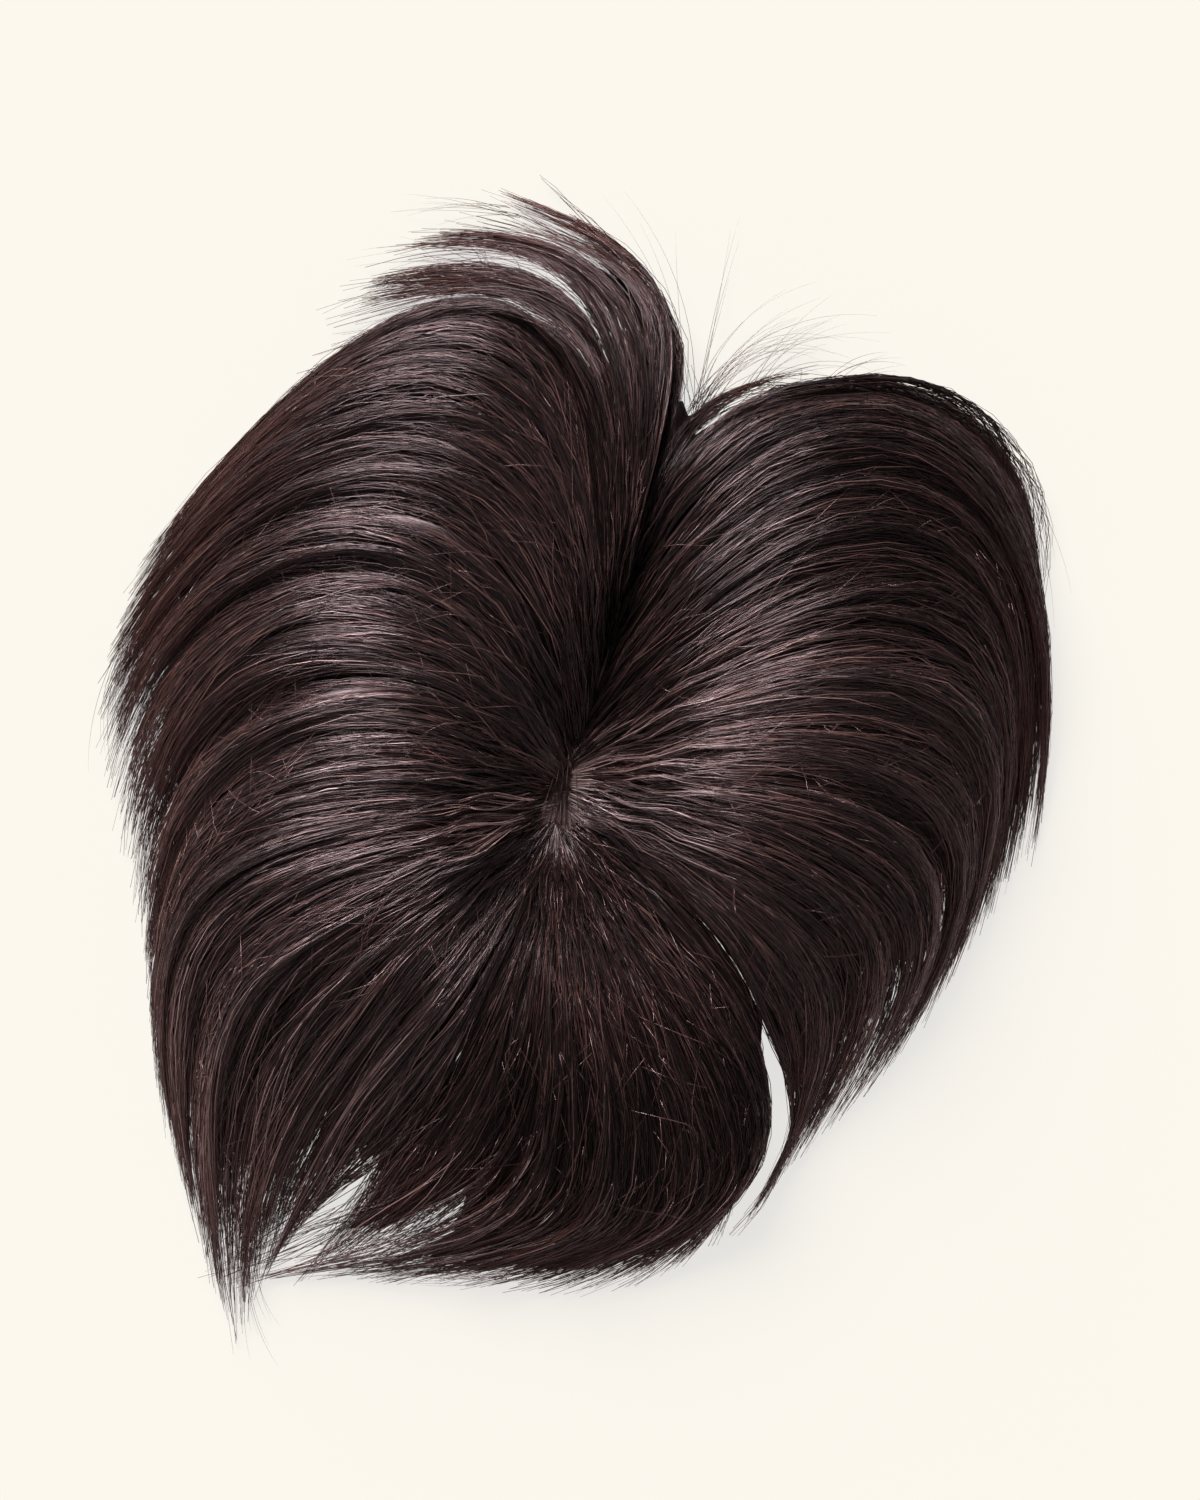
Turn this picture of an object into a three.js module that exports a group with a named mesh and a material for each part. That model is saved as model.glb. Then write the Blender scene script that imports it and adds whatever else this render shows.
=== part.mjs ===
// A clip-in hair topper that lies on a table, seen from the crown.
// Sizes are in millimetres and angles in degrees. +Z is up, +Y is the forehead side and +X is the
// right side as seen from above. Headings turn counterclockwise from +X.
import * as THREE from 'three';

// Named sizes
const hairReach = 200;       // what the shares in the lock tables are taken of
const partLength = 58;       // from the crown forward to the end of the parting
const partHeading = 73;
const scalpHalfWidth = 3;    // bare strip at the crown
const scalpEnd = 2;          // along the parting, where that strip starts to close
const scalpTaper = 14;       // and how far on it has closed
const partHalfWidth = 0.5;   // closed parting in front of it
const sectionGap = 0.4;
const columnsPerLock = 4;
const stationsAlong = 16;

const hairLoft = 20.4;       // how far the hair stands over the cap where it turns over
const riseLength = 50;       // along the hair, from the root to that turn
const fallStart = 0.28;      // share of the hair's way where it starts to come down
const rootThickness = 1.5;
const tipThickness = 1.3;
const lockRelief = 2.6;
const lockVariety = 0.3;     // how much the relief differs from lock to lock
const jointBody = 0.82;      // share of the full thickness left beside another section
const outerBody = 0.1;       // share left at an edge that comes down to the table
const outerRounding = 60;    // along the hair, until such an edge is fully rounded
const underClearance = 0.8;

const cap = {
  x: 0, y: 6, halfWidth: 62, halfLength: 70, wall: 1.2, rimTop: 1.6, rise: 18,
  rings: 9, segments: 40,
};
const skirtShare = 1.45;     // of the cap's half axes, where the hair reaches the table
const crownHeight = cap.rimTop + cap.rise + hairLoft;

const clip = {
  width: 30, barDepth: 5, toothLength: 8, toothWidth: 1.8, toothTaper: 0.2, teeth: 7,
  thickness: 1.2, gap: 0.6,
};

// Lock guides, counterclockwise from the forehead notch. One row is one guide from root to tip.
// root: place along the parting, share of partLength. leave: heading at the root.
// pull: how far it keeps that heading. tipX, tipY: the tip. arrive: heading at the tip.
// drag: how long it has kept that heading. split: how deep the tips part beside it.
// pull, tipX, tipY and drag are shares of hairReach, and split is a share of the guide.
const guideColumns = ['root', 'leave', 'pull', 'tipX', 'tipY', 'arrive', 'drag', 'split'];

const frontLockGuides = [
  [0.66, 76, 0.56, -0.02, 0.95, 138, 0.42, 0.00],
  [0.63, 78, 0.46, -0.15, 0.93, 160, 0.37, 0.16],
  [0.57, 82, 0.45, -0.27, 0.85, 170, 0.40, 0.18],
  [0.50, 86, 0.46, -0.23, 0.795, 178, 0.26, 0.10],
];

const mainGuides = [
  [0.45, 84, 0.80, -0.69, 0.39, 232, 0.74, 0.02],
  [0.38, 86, 0.73, -0.735, 0.285, 238, 0.64, 0.04],
  [0.28, 89, 0.62, -0.765, 0.195, 240, 0.53, 0.04],
  [0.16, 98, 0.57, -0.78, 0.09, 248, 0.48, 0.04],
  [0.04, 112, 0.525, -0.765, -0.03, 258, 0.43, 0.10],
  [-0.05, 128, 0.37, -0.725, -0.22, 264, 0.40, 0.08],
  [-0.10, 150, 0.33, -0.71, -0.36, 268, 0.46, 0.04],
  [-0.15, 180, 0.40, -0.695, -0.53, 274, 0.50, 0.04],
  [-0.20, 190, 0.46, -0.655, -0.68, 281, 0.59, 0.06],
  [-0.24, 200, 0.49, -0.61, -0.83, 281, 0.64, 0.10],
  [-0.27, 213, 0.46, -0.565, -0.94, 275, 0.56, 0.10],
  [-0.30, 234, 0.33, -0.53, -0.875, 256, 0.42, 0.10],
  [-0.33, 252, 0.49, -0.47, -0.825, 232, 0.31, 0.06],
  [-0.34, 266, 0.64, -0.37, -0.84, 208, 0.33, 0.12],
  [-0.34, 277, 0.71, -0.29, -0.85, 196, 0.37, 0.08],
  [-0.33, 290, 0.70, -0.16, -0.86, 192, 0.42, 0.03],
  [-0.31, 304, 0.64, -0.02, -0.86, 196, 0.42, 0.03],
  [-0.28, 315, 0.56, 0.115, -0.84, 210, 0.38, 0.03],
  [-0.23, 327, 0.45, 0.27, -0.755, 238, 0.235, 0.00],
  [-0.17, 338, 0.53, 0.34, -0.69, 240, 0.44, 0.05],
  [-0.10, 348, 0.55, 0.42, -0.605, 236, 0.47, 0.07],
  [-0.03, 362, 0.58, 0.51, -0.515, 238, 0.50, 0.07],
  [0.03, 380, 0.61, 0.595, -0.405, 244, 0.54, 0.06],
  [0.10, 396, 0.64, 0.66, -0.295, 250, 0.60, 0.05],
  [0.20, 410, 0.69, 0.705, -0.205, 254, 0.65, 0.05],
  [0.38, 422, 0.725, 0.75, -0.135, 258, 0.71, 0.04],
  [0.68, 432, 0.64, 0.79, -0.055, 262, 0.80, 0.03],
  [0.97, 442, 0.57, 0.79, 0.30, 262, 0.46, 0.00],
];

// Slits between the sections of the main hair. row: the guide that the slit runs along.
// opens, closes: shares of the guide. width: share of hairReach, at its widest.
const slits = [
  { row: 12, opens: 0.70, closes: 1.4, width: 0.05 },
  { row: 18, opens: 0.46, closes: 1.02, width: 0.042 },
];

// Towards the back the hair lies flatter and rises more slowly. fromRow, toRow: where that starts and
// ends. fullFrom, fullTo: between them it is complete. loftLoss: share of hairLoft that is gone there.
// riseGain: share of riseLength that is added.
const settling = { fromRow: 9, fullFrom: 12.5, fullTo: 17, toRow: 21, loftLoss: 0.45, riseGain: 0.7 };

// from, to: the guides that bound a section. roundFrom, roundTo: how many guides in from that edge
// the hair comes down to the table, or 0 beside another section.
const sections = [
  {
    name: 'hair_front_lock', guides: frontLockGuides, from: 0, to: 3, roundFrom: 1.4, roundTo: 1.2,
    color: 0x3a2c2b,
  },
  {
    name: 'hair_left', guides: mainGuides, from: 0, to: 12, roundFrom: 2.4, roundTo: 0,
    color: 0x3d2f2e,
  },
  {
    name: 'hair_back', guides: mainGuides, from: 12, to: 18, roundFrom: 0, roundTo: 0,
    color: 0x322625,
  },
  {
    name: 'hair_right', guides: mainGuides, from: 18, to: 27, roundFrom: 0, roundTo: 3.2,
    color: 0x382b2a,
  },
];

const clips = [
  { name: 'clip_front', heading: 90, share: 0.78 },
  { name: 'clip_left', heading: 180, share: 0.76 },
  { name: 'clip_back', heading: 270, share: 0.78 },
  { name: 'clip_right', heading: 0, share: 0.76 },
];

// Small helpers
const radians = (degrees) => (degrees * Math.PI) / 180;
const heading = (degrees) => new THREE.Vector2(Math.cos(radians(degrees)), Math.sin(radians(degrees)));
const clamp01 = (value) => Math.min(1, Math.max(0, value));
const ease = (value) => {
  const t = clamp01(value);
  return t * t * (3 - 2 * t);
};

function namedRow(row) {
  return Object.fromEntries(guideColumns.map((column, index) => [column, row[index]]));
}

// Height of the cap's outer face over the table, by share of its half axes
function capTop(share) {
  return cap.rimTop + cap.rise * (1 - share * share);
}

function capShare(x, y) {
  return Math.hypot((x - cap.x) / cap.halfWidth, (y - cap.y) / cap.halfLength);
}

// The underside of the hair follows the cap and then lies on the table.
function underHeight(x, y) {
  const share = capShare(x, y);
  if (share <= 1) {
    return capTop(share) + underClearance;
  }
  return (cap.rimTop + underClearance) * (1 - ease((share - 1) / (skirtShare - 1)));
}

// Four control points in plan for one guide
function guideControls(row) {
  const guide = namedRow(row);
  const closing = ease((guide.root * partLength - scalpEnd) / scalpTaper);
  const halfWidth = scalpHalfWidth + (partHalfWidth - scalpHalfWidth) * closing;
  const side = Math.min(partHeading + 270, Math.max(partHeading + 90, guide.leave));
  const root = heading(partHeading).multiplyScalar(guide.root * partLength);
  root.addScaledVector(heading(side), halfWidth);
  const tip = new THREE.Vector2(guide.tipX, guide.tipY).multiplyScalar(hairReach);
  const leaving = root.clone().addScaledVector(heading(guide.leave), guide.pull * hairReach);
  const arriving = tip.clone().addScaledVector(heading(guide.arrive), -guide.drag * hairReach);
  return [root, leaving, arriving, tip];
}

// Smooth weights of four neighbouring rows at a place between the middle two
function rowWeights(f) {
  return [
    0.5 * (-f + 2 * f * f - f * f * f),
    0.5 * (2 - 5 * f * f + 3 * f * f * f),
    0.5 * (f + 4 * f * f - 3 * f * f * f),
    0.5 * (-f * f + f * f * f),
  ];
}

function controlsAt(rows, place) {
  const last = rows.length - 1;
  const low = Math.min(Math.floor(place), last - 1);
  const weights = rowWeights(place - low);
  const rowAt = (index) => {
    if (index < 0) {
      return rows[0].map((point, k) => point.clone().multiplyScalar(2).sub(rows[1][k]));
    }
    if (index > last) {
      return rows[last].map((point, k) => point.clone().multiplyScalar(2).sub(rows[last - 1][k]));
    }
    return rows[index];
  };
  return [0, 1, 2, 3].map((k) => {
    const point = new THREE.Vector2();
    weights.forEach((weight, j) => point.addScaledVector(rowAt(low - 1 + j)[k], weight));
    return point;
  });
}

function curvePoint(controls, t) {
  const s = 1 - t;
  const weights = [s * s * s, 3 * s * s * t, 3 * s * t * t, t * t * t];
  const point = new THREE.Vector2();
  weights.forEach((weight, k) => point.addScaledVector(controls[k], weight));
  return point;
}

function curveSide(controls, t) {
  const ahead = curvePoint(controls, t + 0.01).sub(curvePoint(controls, t - 0.01)).normalize();
  return new THREE.Vector2(-ahead.y, ahead.x);
}

// The length of a guide and the place on it at a distance from its root
function measuredWalk(controls, reachShare) {
  const steps = 80;
  const lengths = [0];
  for (let i = 1; i <= steps; i += 1) {
    const here = curvePoint(controls, (reachShare * i) / steps);
    const before = curvePoint(controls, (reachShare * (i - 1)) / steps);
    lengths.push(lengths[i - 1] + here.distanceTo(before));
  }
  const placeAt = (distance) => {
    let i = 1;
    while (i < steps && lengths[i] < distance) {
      i += 1;
    }
    const part = clamp01((distance - lengths[i - 1]) / (lengths[i] - lengths[i - 1]));
    return (reachShare * (i - 1 + part)) / steps;
  };
  return { length: lengths[steps], placeAt };
}

// How far a column moves sideways to leave a slit open beside it
function slitShift(section, place, t) {
  let shift = 0;
  if (section.guides !== mainGuides) {
    return shift;
  }
  for (const slit of slits) {
    const away = place - slit.row;
    const opensHere = slit.row === section.from || slit.row === section.to;
    if (!opensHere || Math.abs(away) >= 1) {
      continue;
    }
    const turn = clamp01((t - slit.opens) / (slit.closes - slit.opens));
    const half = 0.5 * (sectionGap + slit.width * hairReach * Math.sin(Math.PI * turn));
    const towards = slit.row === section.from ? 1 : -1;
    shift += towards * half * (1 - Math.abs(away)) ** 2;
  }
  return shift;
}

// How far the hair at a place has settled, from 0 to 1
function settledShare(section, place) {
  if (section.guides !== mainGuides) {
    return 0;
  }
  const coming = ease((place - settling.fromRow) / (settling.fullFrom - settling.fromRow));
  const going = ease((settling.toRow - place) / (settling.toRow - settling.fullTo));
  return coming * going;
}

// Share of the full thickness near an edge: a shallow groove at a joint, a round fall elsewhere
function edgeBody(away, rounding, distance) {
  if (rounding === 0) {
    return 1 - (1 - jointBody) * (1 - clamp01(away)) ** 2;
  }
  const inward = 1 - clamp01(away / rounding);
  const round = outerBody + (1 - outerBody) * Math.sqrt(1 - inward * inward);
  return 1 + (round - 1) * ease(distance / outerRounding);
}

// One section of hair: locks side by side on one solid, thin at the parting and at the tips
function hairSection(section) {
  const rows = section.guides.map(guideControls);
  const splits = section.guides.map((row) => namedRow(row).split);
  const columns = (section.to - section.from) * columnsPerLock;
  const top = [];
  const under = [];
  for (let i = 0; i <= columns; i += 1) {
    const place = section.from + i / columnsPerLock;
    const lock = Math.min(Math.floor(place), section.to - 1);
    const phase = place - lock;
    const swell = Math.sin(Math.PI * phase);
    const split = splits[lock] * (1 - phase) + splits[lock + 1] * phase;
    const reachShare = 1 - split * (1 - swell);
    const controls = controlsAt(rows, place);
    const character = 1 - lockVariety + lockVariety * Math.sin(2.4 * lock + section.from);
    const settled = settledShare(section, place);
    const crown = crownHeight - settling.loftLoss * settled * hairLoft;
    const rise = riseLength * (1 + settling.riseGain * settled);
    const walk = measuredWalk(controls, reachShare);
    for (let j = 0; j <= stationsAlong; j += 1) {
      const share = j / stationsAlong;
      const distance = share * walk.length;
      const t = walk.placeAt(distance);
      const point = curvePoint(controls, t);
      point.addScaledVector(curveSide(controls, t), slitShift(section, place, t));
      const low = underHeight(point.x, point.y);
      const up = Math.sin((Math.PI / 2) * clamp01(distance / rise)) ** 1.3;
      const fall = 1 - ease((share - fallStart) / (1 - fallStart));
      const full = rootThickness + (crown - low - rootThickness) * up * fall;
      const body = edgeBody(place - section.from, section.roundFrom, distance)
        * edgeBody(section.to - place, section.roundTo, distance);
      const ridge = lockRelief * character * (swell - 0.5) * up * (1 - share * share);
      const thickness = Math.max(tipThickness, (full + ridge) * body);
      top.push([point.x, point.y, low + thickness]);
      under.push([point.x, point.y, low]);
    }
  }
  return shellGeometry(top, under, columns, stationsAlong);
}

// Closes two grids of points, one over the other, into one solid
function shellGeometry(top, under, columns, stations) {
  const stride = stations + 1;
  const offset = top.length;
  const faces = [];
  const quad = (a, b, c, d) => faces.push(a, b, c, a, c, d);
  for (let i = 0; i < columns; i += 1) {
    for (let j = 0; j < stations; j += 1) {
      const a = i * stride + j;
      const b = a + 1;
      const c = a + stride + 1;
      const d = a + stride;
      quad(a, b, c, d);
      quad(offset + a, offset + d, offset + c, offset + b);
    }
    const root = i * stride;
    const tip = root + stations;
    quad(root, root + stride, offset + root + stride, offset + root);
    quad(tip, offset + tip, offset + tip + stride, tip + stride);
  }
  for (let j = 0; j < stations; j += 1) {
    const first = j;
    const last = columns * stride + j;
    quad(first, offset + first, offset + first + 1, first + 1);
    quad(last, last + 1, offset + last + 1, offset + last);
  }
  const geometry = new THREE.BufferGeometry();
  geometry.setAttribute('position', new THREE.Float32BufferAttribute([...top, ...under].flat(), 3));
  geometry.setIndex(faces);
  geometry.computeVertexNormals();
  return geometry;
}

// The base: a thin oval dome, turned as a lathe shape and stretched to an oval
function capGeometry() {
  const outer = [];
  const inner = [];
  for (let i = 0; i <= cap.rings; i += 1) {
    const share = Math.sin((Math.PI / 2) * (i / cap.rings));
    outer.push(new THREE.Vector2(share, capTop(share)));
    const innerShare = share * (1 - cap.wall / cap.halfWidth);
    inner.push(new THREE.Vector2(innerShare, capTop(innerShare) - cap.wall));
  }
  const profile = [...inner, ...outer.reverse()];
  const geometry = new THREE.LatheGeometry(profile, cap.segments);
  geometry.rotateX(Math.PI / 2);
  geometry.scale(cap.halfWidth, cap.halfLength, 1);
  geometry.translate(cap.x, cap.y, 0);
  return geometry;
}

// A comb clip that follows the inside of the cap, its teeth towards the middle
function clipGeometry(place) {
  const pitch = clip.width / clip.teeth;
  const margin = (pitch - clip.toothWidth) / 2;
  const shape = new THREE.Shape();
  shape.moveTo(-clip.width / 2, -clip.barDepth);
  for (let i = 1; i <= clip.teeth; i += 1) {
    shape.lineTo(-clip.width / 2 + i * pitch, -clip.barDepth);
  }
  for (let i = clip.teeth - 1; i >= 0; i -= 1) {
    const start = -clip.width / 2 + i * pitch + margin;
    shape.lineTo(start + clip.toothWidth, 0);
    shape.lineTo(start + clip.toothWidth * (1 - clip.toothTaper), clip.toothLength);
    shape.lineTo(start + clip.toothWidth * clip.toothTaper, clip.toothLength);
    shape.lineTo(start, 0);
  }
  shape.closePath();
  const geometry = new THREE.ExtrudeGeometry(shape, { depth: clip.thickness, bevelEnabled: false, steps: 1 });
  const outward = heading(place.heading);
  const across = new THREE.Vector2(-outward.y, outward.x);
  const centre = new THREE.Vector2(
    cap.x + outward.x * cap.halfWidth * place.share,
    cap.y + outward.y * cap.halfLength * place.share,
  );
  const position = geometry.attributes.position;
  for (let i = 0; i < position.count; i += 1) {
    const point = centre.clone();
    point.addScaledVector(across, position.getX(i));
    point.addScaledVector(outward, -position.getY(i));
    const ceiling = capTop(capShare(point.x, point.y)) - cap.wall - clip.gap;
    position.setXYZ(i, point.x, point.y, ceiling - clip.thickness + position.getZ(i));
  }
  geometry.computeVertexNormals();
  return geometry;
}

function signedVolume(geometry) {
  const index = geometry.index ? geometry.index.array : null;
  const position = geometry.attributes.position;
  const count = index ? index.length : position.count;
  const corner = [new THREE.Vector3(), new THREE.Vector3(), new THREE.Vector3()];
  let volume = 0;
  for (let i = 0; i < count; i += 3) {
    corner.forEach((point, k) => point.fromBufferAttribute(position, index ? index[i + k] : i + k));
    volume += corner[0].dot(corner[1].clone().cross(corner[2])) / 6;
  }
  return volume;
}

// Turns a solid whose faces point inwards the right way out
function facingOut(geometry) {
  const solid = geometry.index ? geometry.toNonIndexed() : geometry;
  if (signedVolume(solid) < 0) {
    const position = solid.attributes.position;
    const swap = new THREE.Vector3();
    const other = new THREE.Vector3();
    for (let i = 0; i < position.count; i += 3) {
      swap.fromBufferAttribute(position, i + 1);
      other.fromBufferAttribute(position, i + 2);
      position.setXYZ(i + 1, other.x, other.y, other.z);
      position.setXYZ(i + 2, swap.x, swap.y, swap.z);
    }
  }
  solid.computeVertexNormals();
  return solid;
}

function addPiece(group, name, geometry, color, roughness, metalness) {
  const material = new THREE.MeshStandardMaterial({ color, roughness, metalness });
  const mesh = new THREE.Mesh(facingOut(geometry), material);
  mesh.name = name;
  group.add(mesh);
}

const topper = new THREE.Group();
topper.name = 'hair_topper';
addPiece(topper, 'base_cap', capGeometry(), 0x5d4e50, 0.8, 0);
for (const section of sections) {
  addPiece(topper, section.name, hairSection(section), section.color, 0.45, 0);
}
for (const place of clips) {
  addPiece(topper, place.name, clipGeometry(place), 0x3a3434, 0.4, 0.8);
}

// The origin is in the middle of the footprint, on the table.
const bounds = new THREE.Box3().setFromObject(topper);
const middle = bounds.getCenter(new THREE.Vector3());
topper.position.set(-middle.x, -middle.y, -bounds.min.z);
topper.updateMatrixWorld(true);

export default topper;
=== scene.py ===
# %% [markdown]
# # A clip-in hair topper, lying on a table
# The real thing is a thin oval mesh with thousands of fine hairs knotted into it. They stand up a
# little at the crown, turn over in a soft ring and lie down in curved locks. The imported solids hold
# the large shape. This script adds what the eye sees: the separate hairs, their colour and the light.

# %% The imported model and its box
import math

import bpy
import numpy as np
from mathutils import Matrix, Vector


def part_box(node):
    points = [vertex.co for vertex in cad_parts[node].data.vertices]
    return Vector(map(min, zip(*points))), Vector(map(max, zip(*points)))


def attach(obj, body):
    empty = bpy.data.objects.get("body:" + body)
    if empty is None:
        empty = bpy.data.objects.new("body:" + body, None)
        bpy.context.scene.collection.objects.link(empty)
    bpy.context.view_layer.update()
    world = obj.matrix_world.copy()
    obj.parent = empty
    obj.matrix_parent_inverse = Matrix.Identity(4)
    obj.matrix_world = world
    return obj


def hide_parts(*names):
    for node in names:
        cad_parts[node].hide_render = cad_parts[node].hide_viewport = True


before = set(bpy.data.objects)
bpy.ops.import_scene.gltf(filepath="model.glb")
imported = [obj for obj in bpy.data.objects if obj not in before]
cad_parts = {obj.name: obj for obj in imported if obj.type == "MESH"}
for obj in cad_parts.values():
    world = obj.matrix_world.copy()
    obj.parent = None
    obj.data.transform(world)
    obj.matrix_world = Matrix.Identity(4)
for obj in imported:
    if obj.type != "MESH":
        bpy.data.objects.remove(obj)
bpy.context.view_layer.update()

cap_low, cap_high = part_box("base_cap")

# %% [markdown]
# ## Where everything is measured from
# Hair is laid out round the crown, the point that it fans out from. The cap's box gives that point,
# because the cap sits a known way off the crown. Lengths here are in millimetres, as a wig maker
# would write them, and turn into metres only when a mesh is made.

# %% Crown and named sizes
MM = 0.001
CAP = {"x": 0.0, "y": 6.0, "half_width": 62.0, "half_length": 70.0, "rim_top": 1.6, "rise": 18.0}
CROWN_X = (cap_low[0] + cap_high[0]) / 2 / MM - CAP["x"]
CROWN_Y = (cap_low[1] + cap_high[1]) / 2 / MM - CAP["y"]
HAIR_REACH = 200.0
PART_LENGTH = 58.0
PART_HEADING = 73.0
SCALP_HALF_WIDTH = 3.0
SCALP_END = 2.0
SCALP_TAPER = 14.0
PART_HALF_WIDTH = 0.5
SECTION_GAP = 0.4
HAIR_LOFT = 20.4
RISE_LENGTH = 50.0
FALL_START = 0.28
ROOT_THICKNESS = 1.5
TIP_THICKNESS = 1.3
LOCK_RELIEF = 1.7
LOCK_VARIETY = 0.3
JOINT_BODY = 0.82
OUTER_BODY = 0.1
OUTER_ROUNDING = 60.0
UNDER_CLEARANCE = 0.8
SKIRT_SHARE = 1.45
CROWN_HEIGHT = CAP["rim_top"] + CAP["rise"] + HAIR_LOFT
print("crown at", round(CROWN_X, 2), round(CROWN_Y, 2), "mm from the middle of the footprint")

# %% [markdown]
# ## How the hair lies
# A stylist reads a head of hair as a few guiding locks and lets the rest follow. The tables do the
# same: one row is one guide, from its root beside the parting to its tip, counterclockwise from the
# notch at the forehead. Headings are in degrees from +X. Pull and drag say how long a lock keeps its
# first and last heading, and with the tip they are shares of the hair's reach.

# %% Guides of the locks
# root, leave, pull, tip_x, tip_y, arrive, drag, split
FRONT_GUIDES = [
    (0.66, 76, 0.56, -0.02, 0.95, 138, 0.42, 0.00),
    (0.63, 78, 0.46, -0.15, 0.93, 160, 0.37, 0.16),
    (0.57, 82, 0.45, -0.27, 0.85, 170, 0.40, 0.18),
    (0.50, 86, 0.46, -0.23, 0.795, 178, 0.26, 0.10),
]
MAIN_GUIDES = [
    (0.45, 84, 0.80, -0.69, 0.39, 232, 0.74, 0.02),
    (0.38, 86, 0.73, -0.735, 0.285, 238, 0.64, 0.04),
    (0.28, 89, 0.62, -0.765, 0.195, 240, 0.53, 0.04),
    (0.16, 98, 0.57, -0.78, 0.09, 248, 0.48, 0.04),
    (0.04, 112, 0.525, -0.765, -0.03, 258, 0.43, 0.10),
    (-0.05, 128, 0.37, -0.725, -0.22, 264, 0.40, 0.08),
    (-0.10, 150, 0.33, -0.71, -0.36, 268, 0.46, 0.04),
    (-0.15, 180, 0.40, -0.695, -0.53, 274, 0.50, 0.04),
    (-0.20, 190, 0.46, -0.655, -0.68, 281, 0.59, 0.06),
    (-0.24, 200, 0.49, -0.61, -0.83, 281, 0.64, 0.10),
    (-0.27, 213, 0.46, -0.565, -0.94, 275, 0.56, 0.10),
    (-0.30, 234, 0.33, -0.53, -0.875, 256, 0.42, 0.10),
    (-0.33, 252, 0.49, -0.47, -0.825, 232, 0.31, 0.06),
    (-0.34, 266, 0.64, -0.37, -0.84, 208, 0.33, 0.12),
    (-0.34, 277, 0.71, -0.29, -0.85, 196, 0.37, 0.08),
    (-0.33, 290, 0.70, -0.16, -0.86, 192, 0.42, 0.03),
    (-0.31, 304, 0.64, -0.02, -0.86, 196, 0.42, 0.03),
    (-0.28, 315, 0.56, 0.115, -0.84, 210, 0.38, 0.03),
    (-0.23, 327, 0.45, 0.27, -0.755, 238, 0.235, 0.00),
    (-0.17, 338, 0.53, 0.34, -0.69, 240, 0.44, 0.05),
    (-0.10, 348, 0.55, 0.42, -0.605, 236, 0.47, 0.07),
    (-0.03, 362, 0.58, 0.51, -0.515, 238, 0.50, 0.07),
    (0.03, 380, 0.61, 0.595, -0.405, 244, 0.54, 0.06),
    (0.10, 396, 0.64, 0.66, -0.295, 250, 0.60, 0.05),
    (0.20, 410, 0.69, 0.705, -0.205, 254, 0.65, 0.05),
    (0.38, 422, 0.725, 0.75, -0.135, 258, 0.71, 0.04),
    (0.68, 432, 0.64, 0.79, -0.055, 262, 0.80, 0.03),
    (0.97, 442, 0.57, 0.79, 0.30, 262, 0.46, 0.00),
]
SLITS = [
    {"row": 12, "opens": 0.70, "closes": 1.4, "width": 0.06, "lean": 0.0},
    {"row": 18, "opens": 0.48, "closes": 1.08, "width": 0.088, "lean": -2.0},
]
SETTLING = {
    "from_row": 9, "full_from": 12.5, "full_to": 17, "to_row": 21,
    "loft_loss": 0.45, "rise_gain": 0.7,
}
VALLEY_GUIDES = [
    FRONT_GUIDES[0],
    (0.75, 75, 0.28, 0.215, 0.64, 66, 0.20, 0.00),
    (0.85, 70, 0.30, 0.45, 0.655, 0, 0.30, 0.10),
    MAIN_GUIDES[27],
]
FORELOCK_GUIDES = [
    (0.66, 76, 0.56, -0.12, 0.968, 162, 0.40, 0.00),
    (0.65, 77, 0.54, -0.12, 0.935, 160, 0.41, 0.06),
    (0.62, 78, 0.50, -0.29, 0.880, 189, 0.41, 0.06),
    (0.57, 80, 0.50, -0.38, 0.785, 195, 0.45, 0.04),
    (0.50, 82, 0.64, -0.43, 0.665, 207, 0.42, 0.04),
    MAIN_GUIDES[0],
]
SWEEP_GUIDES = [
    (-0.33, 252, 0.49, -0.60, -0.79, 222, 0.33, 0.10),
    (-0.34, 266, 0.64, -0.57, -0.855, 202, 0.36, 0.12),
    (-0.34, 277, 0.71, -0.44, -0.848, 188, 0.38, 0.08),
    (-0.33, 290, 0.70, -0.28, -0.855, 188, 0.42, 0.03),
]

# %% [markdown]
# ## Sections of hair
# A section is a run of guides that lies as one. Round says over how many rows its two edges fall off,
# and bed end how much of the hair's reach the bed under it covers, row by row. Spill lets single
# hairs stray past the first and last row. A push moves the guides sideways from one row on, in
# millimetres, to the left of the way that the hair runs. Tufts are the rows where tips gather, and
# gather says from which share of the length they do, and how much.

# %% Sections
RIGHT_EDGE_PUSH = {"row": 25.3, "over": 1.7, "from": 0.25, "by": -3.4}
SOLID_SECTIONS = [
    {"name": "hair_front_lock", "guides": FRONT_GUIDES, "first": 0, "last": 3,
     "round": (1.4, 1.2), "body": 1,
     "bed_end": ((0, 0.64), (1, 0.66), (3, 0.50))},
    {"name": "hair_left", "guides": MAIN_GUIDES, "first": 0, "last": 12,
     "round": (2.4, 0), "body": 1,
     "bed_end": ((0, 0.74), (2, 0.80), (5, 0.85), (8, 0.80), (10, 0.81), (12, 0.76))},
    {"name": "hair_back", "guides": MAIN_GUIDES, "first": 12, "last": 18,
     "round": (0, 0), "body": 1,
     "bed_end": ((12, 0.80), (12.3, 0.90), (12.6, 0.86), (12.8, 0.78), (13, 0.84), (13.5, 0.93),
                 (15, 0.92), (18, 0.78))},
    {"name": "hair_right", "guides": MAIN_GUIDES, "first": 18, "last": 27,
     "round": (0, 3.2), "body": 1, "pushes": (RIGHT_EDGE_PUSH,),
     "bed_end": ((18, 0.74), (27, 0.74))},
]
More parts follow.
